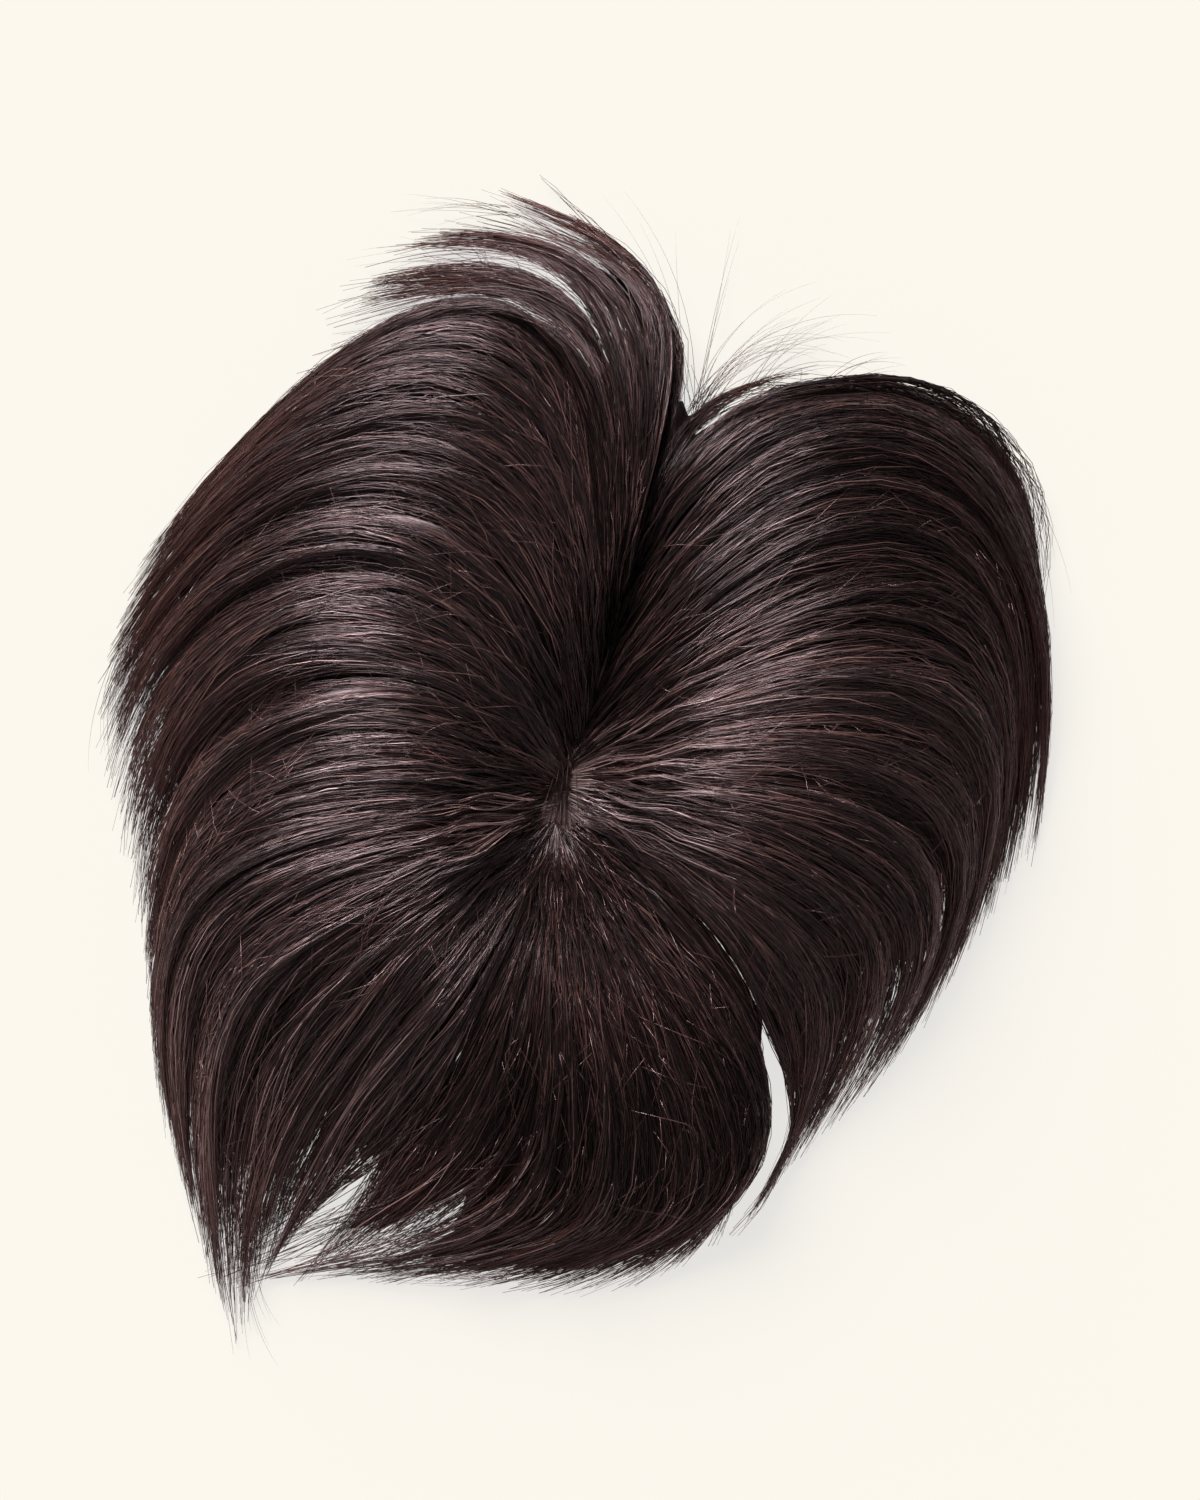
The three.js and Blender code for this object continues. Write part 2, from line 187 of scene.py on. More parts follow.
STRAND_SECTIONS = [
    {"name": "forelock", "guides": FORELOCK_GUIDES, "first": 0, "last": 5,
     "round": (1.2, 0), "round_start": 75, "body": 1, "spill": (0.02, 0.05),
     "tufts": (0.1, 0.5, 1.0, 1.85, 2.15, 2.85, 3.1, 4.1, 4.4, 4.7, 4.95), "gather": (0.46, 0.9)},
    {"name": "left", "guides": MAIN_GUIDES, "first": 0, "last": 12,
     "round": (0, 0), "body": 1, "spill": (0, 0.08)},
    {"name": "back", "guides": MAIN_GUIDES, "first": 12, "last": 18,
     "round": (0, 0), "body": 1, "spill": (0.08, 0.02),
     "pushes": ({"row": 14.5, "over": 2, "from": 0.8, "by": 3.5},)},
    {"name": "right", "guides": MAIN_GUIDES, "first": 18, "last": 27,
     "round": (0, 2.4), "round_start": 60, "body": 1, "spill": (0.10, -0.02),
     "pushes": (RIGHT_EDGE_PUSH,)},
    {"name": "valley", "guides": VALLEY_GUIDES, "first": 0, "last": 3,
     "round": (0, 0), "body": 0.95,
     "pushes": ({"row": 1.9, "over": 1.1, "from": 0.25, "by": -4.2},),
     "bed_end": ((0, 0.7), (0.7, 0.8), (1, 0.93), (2, 0.64), (3, 0.45))},
    {"name": "behind_lock", "guides": FORELOCK_GUIDES, "first": 1, "last": 5,
     "round": (0, 0), "body": 0.85,
     "bed_end": ((1, 0.78), (1.5, 0.74), (2, 0.52), (5, 0.50))},
    {"name": "sweep", "guides": SWEEP_GUIDES, "first": 0, "last": 3,
     "round": (0, 0), "body": 0.7},
]
print(len(SOLID_SECTIONS), "sections of solid hair and", len(STRAND_SECTIONS), "of loose hair")

# %% [markdown]
# ## From a guide to a curve
# Each row becomes four control points of a smooth curve, from root to tip. Between two rows the
# controls follow a spline through the rows on both sides, so the hair turns evenly round the crown.

# %% From a table row to a curve
def ease(value):
    t = np.clip(value, 0.0, 1.0)
    return t * t * (3 - 2 * t)


def unit(degrees):
    angle = np.radians(degrees)
    return np.stack([np.cos(angle), np.sin(angle)], -1)


def guide_controls(table):
    root, leave, pull, tip_x, tip_y, arrive, drag, _ = np.array(table, float).T
    closing = ease((root * PART_LENGTH - SCALP_END) / SCALP_TAPER)
    half_width = SCALP_HALF_WIDTH + (PART_HALF_WIDTH - SCALP_HALF_WIDTH) * closing
    side = np.clip(leave, PART_HEADING + 90, PART_HEADING + 270)
    start = unit(PART_HEADING) * (root * PART_LENGTH)[:, None] + unit(side) * half_width[:, None]
    tip = np.stack([tip_x, tip_y], -1) * HAIR_REACH
    leaving = start + unit(leave) * (pull * HAIR_REACH)[:, None]
    arriving = tip - unit(arrive) * (drag * HAIR_REACH)[:, None]
    return np.stack([start, leaving, arriving, tip], 1)


def controls_at(rows, place):
    before = 2 * rows[:1] - rows[1:2]
    after = 2 * rows[-1:] - rows[-2:-1]
    padded = np.concatenate([before, rows, after])
    low = np.minimum(np.floor(place).astype(int), len(rows) - 2)
    f = (place - low)[:, None, None]
    a, b, c, d = (padded[low + k] for k in range(4))
    bend = (2 * a - 5 * b + 4 * c - d) * f * f + (3 * b - a - 3 * c + d) * f ** 3
    return 0.5 * (2 * b + (c - a) * f + bend)


def curve_points(controls, t):
    s = 1 - t
    weights = np.stack([s ** 3, 3 * s * s * t, 3 * s * t * t, t ** 3], -1)
    return np.einsum("nmk,nkd->nmd", weights, controls)


print("the first guide runs over", guide_controls(MAIN_GUIDES)[0].round().tolist(), "mm")

# %% [markdown]
# ## The height of the hair
# Seen from the side the hair is a shallow bowl: low at the parting, high where it turns over and
# flat on the table at the tips. The same few rules give that height for every place on a guide, with
# a low ridge along each lock and a round fall at the two edges beside the forehead notch.

# %% Height over the table
RISE_POWER = 1.3
LOCK_RHYTHM = 2.4


def cap_top(share):
    return CAP["rim_top"] + CAP["rise"] * (1 - share * share)


def under_height(x, y):
    share = np.hypot((x - CAP["x"]) / CAP["half_width"], (y - CAP["y"]) / CAP["half_length"])
    outside = (CAP["rim_top"] + UNDER_CLEARANCE) * (1 - ease((share - 1) / (SKIRT_SHARE - 1)))
    return np.where(share <= 1, cap_top(share) + UNDER_CLEARANCE, outside)


def edge_body(away, rounding, distance, start=0):
    if rounding == 0:
        joint = 1 - (1 - JOINT_BODY) * (1 - np.clip(away, 0, 1)) ** 2
        return np.broadcast_to(joint, distance.shape)
    inward = 1 - np.clip(away / rounding, 0, 1)
    round_fall = OUTER_BODY + (1 - OUTER_BODY) * np.sqrt(1 - inward * inward)
    return 1 + (round_fall - 1) * ease((distance - start) / OUTER_ROUNDING)


def settled_share(section, place):
    if section["guides"] is not MAIN_GUIDES:
        return np.zeros_like(place)
    coming = ease((place - SETTLING["from_row"]) / (SETTLING["full_from"] - SETTLING["from_row"]))
    going = ease((SETTLING["to_row"] - place) / (SETTLING["to_row"] - SETTLING["full_to"]))
    return coming * going


def top_height(section, place, distance, share, low):
    lock = np.minimum(np.floor(place).astype(int), section["last"] - 1)
    swell = np.sin(math.pi * (place - lock))
    character = 1 - LOCK_VARIETY + LOCK_VARIETY * np.sin(LOCK_RHYTHM * lock + section["first"])
    settled = settled_share(section, place)
    crown = CROWN_HEIGHT - SETTLING["loft_loss"] * settled * HAIR_LOFT
    rise_length = RISE_LENGTH * (1 + SETTLING["rise_gain"] * settled)
    rise = np.sin(math.pi / 2 * np.clip(distance / rise_length, 0, 1)) ** RISE_POWER
    fall = 1 - ease((share - FALL_START) / (1 - FALL_START))
    full = ROOT_THICKNESS + (crown - low - ROOT_THICKNESS) * rise * fall
    ridge = LOCK_RELIEF * character * (swell - 0.5) * rise * (1 - np.minimum(share, 1) ** 2)
    start = section.get("round_start", 0)
    body = edge_body(place - section["first"], section["round"][0], distance, start)
    body = section["body"] * body * edge_body(section["last"] - place, section["round"][1], distance, start)
    return low + np.maximum(TIP_THICKNESS, (full + ridge) * body)


print("the cap is", cap_top(0.0), "mm high in the middle, and the hair over it", round(CROWN_HEIGHT, 1))

# %% [markdown]
# ## The field of hair
# The guides and their heights are worked out once, as a grid of points for each section: columns
# across the rows, and shares of the length along each. Everything later reads this grid. Where two
# sections part in a slit, their edges move away from each other.

# %% Every place on every guide
COLUMNS = 12
SHARE_STEP = 0.01
FIRST_SHARE = -0.03
SHARES = FIRST_SHARE + np.arange(0, 111) * SHARE_STEP
STEPS_ALONG = 120
STEPS_BEYOND = 12
BEYOND = STEPS_BEYOND / STEPS_ALONG
LOOK_AHEAD = 0.01
PUSH_EASE = 0.2


def sideways_shift(section, place, t):
    shift = np.zeros_like(t)
    for slit in SLITS:
        edges = (section["first"], section["last"])
        if section["guides"] is not MAIN_GUIDES or slit["row"] not in edges:
            continue
        away = np.clip(1 - np.abs(place - slit["row"]), 0, 1)
        turn = np.clip((t - slit["opens"]) / (slit["closes"] - slit["opens"]), 0, 1)
        half = 0.5 * (SECTION_GAP + slit["width"] * HAIR_REACH * np.sin(math.pi * turn))
        towards = 1 if slit["row"] == section["first"] else -1
        lean = slit["lean"] * np.sin(math.pi * turn)
        shift = shift + (towards * half + lean) * away ** 2
    for push in section.get("pushes", ()):
        rows = ease((place - push["row"]) / push["over"])
        shift = shift + push["by"] * rows * ease((t - push["from"]) / PUSH_EASE)
    return shift


def make_field(section):
    rows = guide_controls(section["guides"])
    splits = np.array(section["guides"], float)[:, 7]
    count = (section["last"] - section["first"]) * COLUMNS + 1
    place = np.linspace(section["first"], section["last"], count)
    controls = controls_at(rows, place)
    t = np.linspace(-BEYOND, 1 + BEYOND, STEPS_ALONG + 2 * STEPS_BEYOND + 1)
    fine = curve_points(controls, np.broadcast_to(t, (count, t.size)))
    steps = np.linalg.norm(np.diff(fine, axis=1), axis=2)
    length = np.concatenate([np.zeros((count, 1)), np.cumsum(steps, 1)], 1)
    length -= length[:, STEPS_BEYOND:STEPS_BEYOND + 1]
    full = length[:, STEPS_BEYOND + STEPS_ALONG]
    t_at = np.stack([np.interp(SHARES * full[i], length[i], t) for i in range(count)])
    xy = curve_points(controls, t_at)
    ahead = curve_points(controls, t_at + LOOK_AHEAD) - curve_points(controls, t_at - LOOK_AHEAD)
    ahead /= np.linalg.norm(ahead, axis=2, keepdims=True)
    side = np.stack([-ahead[..., 1], ahead[..., 0]], -1)
    xy = xy + side * sideways_shift(section, place[:, None], t_at)[..., None]
    lock = np.minimum(np.floor(place).astype(int), section["last"] - 1)
    phase = place - lock
    split = splits[lock] * (1 - phase) + splits[lock + 1] * phase
    reach_t = 1 - split * (1 - np.sin(math.pi * phase))
    reach = np.array([np.interp(reach_t[i], t, length[i]) / full[i] for i in range(count)])
    distance = SHARES[None] * full[:, None]
    low = under_height(xy[..., 0], xy[..., 1])
    share = SHARES[None] / reach[:, None]
    top = top_height(section, place[:, None], distance, share, low)
    points = np.concatenate([xy, top[..., None]], 2)
    return {"section": section, "place": place, "points": points, "low": low,
            "reach": reach, "full": full}


FIELDS = {section["name"]: make_field(section) for section in SOLID_SECTIONS + STRAND_SECTIONS}
for name, field in FIELDS.items():
    lengths = field["full"]
    print(name, "guides from", round(lengths.min()), "to", round(lengths.max()), "mm long")

# %% [markdown]
# ## Meshes from arrays
# Many thousand hairs are far too many to model one by one. Each is a thin tube with three sides and
# closed ends, and numpy works out all of their corners at once. Every tube carries its own place in a
# UV map: across the map lies the tone of the hair, and up the map the way from root to tip.

# %% Helpers that make a mesh
SIDES = 3
TONE_ACROSS = 0.002
UV_MARGIN = 0.01


def new_piece(name, corners, faces, uvs):
    mesh = bpy.data.meshes.new(name)
    sizes = np.concatenate([np.full(len(part), part.shape[1]) for part in faces])
    loops = np.concatenate([part.reshape(-1) for part in faces])
    mesh.vertices.add(len(corners))
    mesh.vertices.foreach_set("co", (corners * MM).astype(np.float32).reshape(-1))
    mesh.loops.add(len(loops))
    mesh.loops.foreach_set("vertex_index", loops.astype(np.int32))
    mesh.polygons.add(len(sizes))
    starts = np.concatenate([[0], np.cumsum(sizes)[:-1]])
    mesh.polygons.foreach_set("loop_start", starts.astype(np.int32))
    mesh.update(calc_edges=True)
    layer = mesh.uv_layers.new(name="OFBake")
    layer.uv.foreach_set("vector", uvs[loops].astype(np.float32).reshape(-1))
    mesh.polygons.foreach_set("use_smooth", np.full(len(sizes), True))
    mesh.validate()
    obj = bpy.data.objects.new(name, mesh)
    bpy.context.scene.collection.objects.link(obj)
    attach(obj, "root")
    print(name, "has", int(np.sum(sizes - 2)), "triangles")
    return obj


# Points measured from the crown, moved into the frame of the model
def from_crown(points):
    return points + np.array([CROWN_X, CROWN_Y, 0.0])


# One tube round each path, with its corners, its faces by kind and its place in the UV map
def tubes(paths, radii, tones, turn):
    count, rings = paths.shape[:2]
    ahead = np.gradient(paths, axis=1)
    ahead /= np.linalg.norm(ahead, axis=2, keepdims=True) + 1e-9
    side = np.cross(ahead, np.array([0.0, 0.0, 1.0]))
    side /= np.linalg.norm(side, axis=2, keepdims=True) + 1e-9
    up = np.cross(side, ahead)
    corners = []
    for k in range(SIDES):
        angle = (turn + k * 2 * math.pi / SIDES)[:, None, None]
        corners.append(paths + radii[..., None] * (np.cos(angle) * side + np.sin(angle) * up))
    corners = np.stack(corners, 2)
    index = np.arange(count * rings * SIDES).reshape(count, rings, SIDES)
    a = index[:, :-1]
    b = index[:, 1:]
    quads = np.stack([a, np.roll(a, -1, 2), np.roll(b, -1, 2), b], -1).reshape(-1, 4)
    root_caps = index[:, 0, ::-1]
    tip_caps = index[:, -1]
    along = np.broadcast_to(np.linspace(0.0, 1.0, rings)[None, :, None], (count, rings, SIDES))
    across = tones[:, None, None] + TONE_ACROSS * np.arange(SIDES)
    uvs = np.stack([np.broadcast_to(across, along.shape), along * (1 - 2 * UV_MARGIN) + UV_MARGIN], -1)
    return corners.reshape(-1, 3), [quads, root_caps, tip_caps], uvs.reshape(-1, 2)


print("a tube has", SIDES, "sides and", 2 * SIDES, "triangles from ring to ring")

# %% [markdown]
# ## The bed under the hairs
# Between the hairs the eye falls on more hair, dark and close. A thin bed stands for that depth, painted
# darker than the hairs as painted shade. It follows the same guides a little lower than the hairs do,
# has a finer ridge for each small strand and stops short of the tips, so that the ends stay loose.

# %% The bed
BED_DROP = 2.4
BARE_SHARES = (
    (6, 0), (8.5, 0.018), (11, 0.022), (12.5, 0.008), (16, 0.008), (17.5, 0.022), (20.5, 0.022),
    (22.5, 0),
)
BED_TIP = 0.35
BED_STATIONS = 46
BED_RAGGED = ((0.03, 17, 0), (0.02, 41, 1))
BED_RIDGE = 0.5
BED_RIDGE_START = 0.2
BED_THINS = {"from": 0.8, "over": 0.2, "by": 0.75}
BED_UV = {"across": (0.02, 0.98), "along": (0.01, 0.49), "under": 0.5}
STRANDS_PER_LOCK = 13
TUFTS_PER_LOCK = 3


# The share of each guide that stays bare at the crown, where the cap shows through
def bare_start(place):
    return np.interp(place, *np.array(BARE_SHARES).T)


def bed_grid(field):
    stations = np.linspace(0, 1, BED_STATIONS)
    place = field["place"]
    ragged = sum(size * np.sin(rate * place + phase) for size, rate, phase in BED_RAGGED)
    begin = (bare_start(place) * (field["section"]["guides"] is MAIN_GUIDES))[:, None]
    bed_end = np.interp(place, *np.array(field["section"]["bed_end"]).T) + ragged
    shares = begin + stations[None] * ((field["reach"] * bed_end)[:, None] - begin)
    cols = np.arange(len(place))[:, None]
    spot = (shares - FIRST_SHARE) / SHARE_STEP
    low = np.minimum(np.floor(spot).astype(int), len(SHARES) - 2)
    f = (spot - low)[..., None]
    top = field["points"][cols, low] * (1 - f) + field["points"][cols, low + 1] * f
    under = top.copy()
    under[..., 2] = field["low"][cols, low] * (1 - f[..., 0]) + field["low"][cols, low + 1] * f[..., 0]
    fine = BED_RIDGE * np.sin(2 * math.pi * STRANDS_PER_LOCK * place)[:, None]
    drop = BED_DROP - fine * ease(stations / BED_RIDGE_START)[None]
    thick = np.maximum(BED_TIP, top[..., 2] - under[..., 2] - drop)
    thinning = ease((stations - BED_THINS["from"]) / BED_THINS["over"])
    thin_out = 1 - thinning[None] * BED_THINS["by"]
    top[..., 2] = under[..., 2] + np.maximum(BED_TIP, thick * thin_out)
    return top, under


def closed_bed(name, field):
    top, under = bed_grid(field)
    columns, stations = top.shape[:2]
    corners = np.concatenate([top.reshape(-1, 3), under.reshape(-1, 3)])
    index = np.arange(columns * stations).reshape(columns, stations)
    below = index + columns * stations
    upper = np.stack([index[:-1, :-1], index[:-1, 1:], index[1:, 1:], index[1:, :-1]], -1)
    lower = np.stack([below[:-1, :-1], below[1:, :-1], below[1:, 1:], below[:-1, 1:]], -1)
    walls = []
    for line, deep, flip in (
        (index[:, 0], below[:, 0], False), (index[:, -1], below[:, -1], True),
        (index[0], below[0], True), (index[-1], below[-1], False),
    ):
        wall = np.stack([line[:-1], line[1:], deep[1:], deep[:-1]], -1)
        walls.append(wall[:, ::-1] if flip else wall)
    faces = np.concatenate([upper.reshape(-1, 4), lower.reshape(-1, 4), *walls])[:, ::-1]
    u = np.linspace(*BED_UV["across"], columns)[:, None]
    v = np.linspace(*BED_UV["along"], stations)[None]
    uv_top = np.stack(np.broadcast_arrays(u, v), -1).reshape(-1, 2)
    uv_under = uv_top + np.array([0.0, BED_UV["under"]])
    return new_piece(name, from_crown(corners), [faces], np.concatenate([uv_top, uv_under]))


beds = []
for section in SOLID_SECTIONS:
    bed = closed_bed(section["name"].replace("hair", "bed"), FIELDS[section["name"]])
    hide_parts(section["name"])
    beds.append(bed)
for name in ("valley", "behind_lock"):
    beds.append(closed_bed("bed_" + name, FIELDS[name]))

# %% [markdown]
# ## The hairs
# Real hairs root all over the cap, not only at the parting, so each one starts somewhere along its
# guide, hidden in the bed, and comes up to the surface. Hairs cling together in small strands that
# draw in towards their tips. A little drift, a slow waver and a different height for each keep them
# from looking combed by a machine. The seed is fixed, so every run gives the same head of hair.

# %% Following the field
RANDOM = np.random.default_rng(29)
FINE = 36
STRAND = {"hold": (0.1, 0.75), "height": 0.45, "turn": 0.03, "turn_wave": 0.02, "turn_rate": 2.1}
BEND_WEIGHT = 1.3


# The point on the field at a place between rows and a share of the way from root to tip
def sample(field, place, share):
    column = (place - field["section"]["first"]) * COLUMNS
    spot = np.clip((share - FIRST_SHARE) / SHARE_STEP, 0, len(SHARES) - 1.001)
    i = np.clip(np.floor(column).astype(int), 0, len(field["place"]) - 2)
    j = np.floor(spot).astype(int)
    f = (column - i)[..., None]
    g = (spot - j)[..., None]
    grid = field["points"]
    near = grid[i, j] * (1 - g) + grid[i, j + 1] * g
    far = grid[i + 1, j] * (1 - g) + grid[i + 1, j + 1] * g
    return near * (1 - f) + far * f


# The small strands that single hairs cling to, and the larger tufts that strands end in
def make_strands(field):
    section = field["section"]
    count = int((section["last"] - section["first"]) * STRANDS_PER_LOCK)
    middle = section["first"] + (np.arange(count) + RANDOM.uniform(0.1, 0.9, count)) / STRANDS_PER_LOCK
    tufts = int((section["last"] - section["first"]) * TUFTS_PER_LOCK)
    tuft = section["first"] + (np.arange(tufts) + RANDOM.uniform(0.2, 0.8, tufts)) / TUFTS_PER_LOCK
    tuft = np.array(section.get("tufts", tuft))
    return {
        "middle": middle,
        "tuft": tuft[np.argmin(np.abs(middle[:, None] - tuft[None]), axis=1)],
        "hold": RANDOM.uniform(*STRAND["hold"], count),
        "height": RANDOM.uniform(-STRAND["height"], STRAND["height"], count),
        "turn": (RANDOM.normal(0, STRAND["turn"], count)
                 + STRAND["turn_wave"] * np.sin(STRAND["turn_rate"] * middle + 1)),
        "tone": RANDOM.random(count),
        "phase": RANDOM.uniform(0, 2 * math.pi, (3, count)),
    }


for section in STRAND_SECTIONS:
    FIELDS[section["name"]]["strands"] = make_strands(FIELDS[section["name"]])
    print(section["name"], "has", len(FIELDS[section["name"]]["strands"]["middle"]), "strands")


# Fewer rings on each path, closer together where it bends
def even_bends(paths, rings):
    steps = np.diff(paths, axis=1)
    size = np.linalg.norm(steps, axis=2) + 1e-9
    way = steps / size[..., None]
    bend = np.arccos(np.clip(np.sum(way[:, 1:] * way[:, :-1], 2), -1, 1))
    bend = np.concatenate([bend[:, :1], bend], 1)
    weight = size / size.sum(1, keepdims=True) + BEND_WEIGHT * bend / (bend.sum(1, keepdims=True) + 1e-6)
    so_far = np.concatenate([np.zeros((len(paths), 1)), np.cumsum(weight, 1)], 1)
    wanted = np.linspace(0, 1, rings)
    stops = np.arange(paths.shape[1])
    spot = np.stack([np.interp(wanted * row[-1], row, stops) for row in so_far])
    low = np.minimum(np.floor(spot).astype(int), paths.shape[1] - 2)
    f = (spot - low)[..., None]
    rows = np.arange(len(paths))[:, None]
    return paths[rows, low] * (1 - f) + paths[rows, low + 1] * f, spot / (paths.shape[1] - 1)


# %% [markdown]
# ## Laying one hair after another
# A layer of hairs is laid in a few steps: where each one roots, how far along its guide it begins and
# ends, how it drifts towards its strand and tuft, how it wavers from side to side, and how high it
# lies. Each step draws its own random numbers, in this order.

# %% Where a hair begins and how it runs
# The column of the grid, at 0.55 of the length, where the gap between guides is measured
GAP_COLUMN = 58
HOME_SPREAD = 0.03
HOME_MARGIN = 0.01
BEGIN_POWER = 0.8
FINISH_POWER = 0.6
BARE_SPREAD = (0.5, 1.2)
BARE_LEAST = 0.004
CLING = {"from": 0.1, "over": 0.8, "keep": (0.4, 1.0)}
SWING = {"size": 0.10, "rate": 7, "full_at": 0.5}
GATHER = (0.62, 0.65)
GATHER_OVER = 0.42
SPILL = (0.08, 0.08)
WAVE = {"rate": 8, "fine_rate": 19, "fine_size": 0.4, "spread": (0.2, 1.0)}
WHORL = {"size": 1.3, "rate": 45, "full_at": 0.04, "fades_from": 0.12, "fades_over": 0.2}


# Root places, spread so that wide stretches of the field get more hairs
def choose_homes(field, count, first, last):
    gap = np.linalg.norm(np.gradient(field["points"][:, GAP_COLUMN, :2], axis=0), axis=1)
    inside = (field["place"] >= first) & (field["place"] <= last)
    chance = gap * field["full"] * inside
    home = np.interp(RANDOM.random(count), np.cumsum(chance) / chance.sum(), field["place"])
    home = home + RANDOM.normal(0, HOME_SPREAD, count)
    return np.clip(home, first + HOME_MARGIN, last - HOME_MARGIN)


# The shares of the guide at which each hair begins and ends
def choose_ends(field, home, start, end, at_patch):
    count = len(home)
    begin = start[0] + (start[1] - start[0]) * RANDOM.random(count) ** BEGIN_POWER
    if field["section"]["guides"] is MAIN_GUIDES and not at_patch:
        bare = bare_start(home) * RANDOM.uniform(*BARE_SPREAD, count)
        begin = np.where(bare > BARE_LEAST, np.maximum(begin, bare), begin)
    reach = np.interp(home, field["place"], field["reach"])
    finish = reach * (end[0] + (end[1] - end[0]) * RANDOM.random(count) ** FINISH_POWER)
    return begin[:, None], finish[:, None]


# The rows that a hair passes over, as it is drawn to its strand and tuft and turned back at an edge
def choose_rows(section, strand, home, begin, share, clump, drift, gather):
    count = len(home)
    hold = clump * strand["hold"] * RANDOM.uniform(*CLING["keep"], count)
    drawn = hold[:, None] * ease((share - CLING["from"]) / CLING["over"])
    wave = np.sin(share * SWING["rate"] + strand["phase"][0])
    swing = SWING["size"] * wave * ease(share / SWING["full_at"])
    from_share, strength = gather or section.get("gather", GATHER)
    gathered = strength * ease((share - from_share) / GATHER_OVER)
    place = home[:, None] + (strand["middle"] - home)[:, None] * drawn + swing
    place = place + (strand["tuft"] - strand["middle"])[:, None] * gathered
    place = place + RANDOM.normal(0, drift, count)[:, None] * (share - begin)
    before, after = section.get("spill", SPILL)
    highest = section["last"] + after
    lowest = section["first"] - before
    place = highest - np.abs(highest - place)
    return np.maximum(lowest + np.abs(place - lowest), lowest)


# How far a hair wavers to its side, with a closer wave where it leaves the crown
def choose_sway(share, step, waver, own, phase):
    wave = np.sin(share * WAVE["rate"] + own[0])
    wave = wave + WAVE["fine_size"] * np.sin(share * WAVE["fine_rate"] + own[1])
    sway = waver * RANDOM.uniform(*WAVE["spread"], len(share))[:, None] * wave * ease(step * 2)
    fading = ease((share - WHORL["fades_from"]) / WHORL["fades_over"])
    near_crown = ease(share / WHORL["full_at"]) * (1 - fading)
    return sway + WHORL["size"] * near_crown * np.sin(share * WHORL["rate"] + phase)


print("a hair roots about", HOME_SPREAD, "rows off its place and has", FINE, "points at first")

# %% How high a hair lies, and a whole layer of them
TURN_FULL_AT = 0.15
LEAST_TURN_DROP = 2.0
LOFT = {"full_at": 0.15, "settles_from": 0.5, "settles_over": 0.4, "settles_by": 0.8}
RIPPLE = {"size": 0.6, "rate": 17, "fine_size": 0.35, "fine_rate": 43}
LIFT_POWER = 1.5
HIDDEN_FROM = 0.03
SURFACING = {"hidden": 0.12, "rooted": 0.3}
TABLE_CLEARANCE = 0.25
TAPER = {"from": 0.6, "over": 0.4, "by": 0.45}
WIDTH_SPREAD = (0.55, 1.35)
STRAND_TONE = 0.25
TONE_STEPS = 60
TONE_WIDTH = 62


# Tones in even steps: two tubes share one strip of the UV map or lie clear of each other
def tone_steps(tones):
    return np.round(tones * TONE_STEPS) / TONE_WIDTH + UV_MARGIN


# How high a hair lies over the field, sunk in the bed where it begins out of sight
def choose_height(share, step, begin, lift, sink, strand, own):
    settling = ease((share - LOFT["settles_from"]) / LOFT["settles_over"])
    loft = ease(share / LOFT["full_at"]) * (1 - LOFT["settles_by"] * settling)
    height = lift[0] + (lift[1] - lift[0]) * RANDOM.random(len(share))[:, None] ** LIFT_POWER
    ripple = RIPPLE["size"] * np.sin(share * RIPPLE["rate"] + strand["phase"][1])
    fine = RIPPLE["fine_size"] * np.sin(share * RIPPLE["fine_rate"] + own[1])
    height = height + loft * (strand["height"][:, None] + ripple + fine)
    surfacing = ease(step / SURFACING["hidden"])
    hidden = begin > HIDDEN_FROM
    shown = np.where(hidden, surfacing, ease(step / SURFACING["rooted"]))
    return height * shown - sink * (1 - surfacing) * hidden


# One layer of hairs: their paths, radii and tones
def lay_hairs(field, count, rings, start=(0.0, 0.4), end=(0.9, 1.02), lift=(0.0, 1.6), drift=0.12,
              clump=0.8, waver=0.5, width=0.34, span=None, sink=2.2, at_patch=False, gather=None):
    section = field["section"]
    first, last = span or (section["first"], section["last"])
    home = choose_homes(field, count, first, last)
    nearest = np.argmin(np.abs(home[:, None] - field["strands"]["middle"][None]), axis=1)
    strand = {key: values[..., nearest] for key, values in field["strands"].items()}
    strand["phase"] = strand["phase"][..., None]
    begin, finish = choose_ends(field, home, start, end, at_patch)
    step = np.linspace(0, 1, FINE)[None]
    share = begin + (finish - begin) * step
    place = choose_rows(section, strand, home, begin, share, clump, drift, gather)
    paths = sample(field, place, share)
    turned = share + strand["turn"][:, None] * ease(share / TURN_FULL_AT)
    paths[..., 2] = np.maximum(sample(field, place, turned)[..., 2], paths[..., 2] - LEAST_TURN_DROP)
    ahead = np.gradient(paths, axis=1)
    side = np.stack([-ahead[..., 1], ahead[..., 0]], -1)
    side /= np.linalg.norm(side, axis=2, keepdims=True) + 1e-9
    own = RANDOM.uniform(0, 2 * math.pi, (2, count, 1))
    paths[..., :2] += side * choose_sway(share, step, waver, own, strand["phase"][2])[..., None]
    paths[..., 2] += choose_height(share, step, begin, lift, sink, strand, own)
    paths[..., 2] = np.maximum(paths[..., 2], TABLE_CLEARANCE)
    paths, along = even_bends(paths, rings)
    taper = 1 - TAPER["by"] * ease((along - TAPER["from"]) / TAPER["over"])
    radii = 0.5 * width * RANDOM.uniform(*WIDTH_SPREAD, count)[:, None] * taper
    tones = STRAND_TONE * strand["tone"] + (1 - STRAND_TONE) * RANDOM.random(count)
    return paths, radii, tone_steps(np.clip(tones, 0, 1))


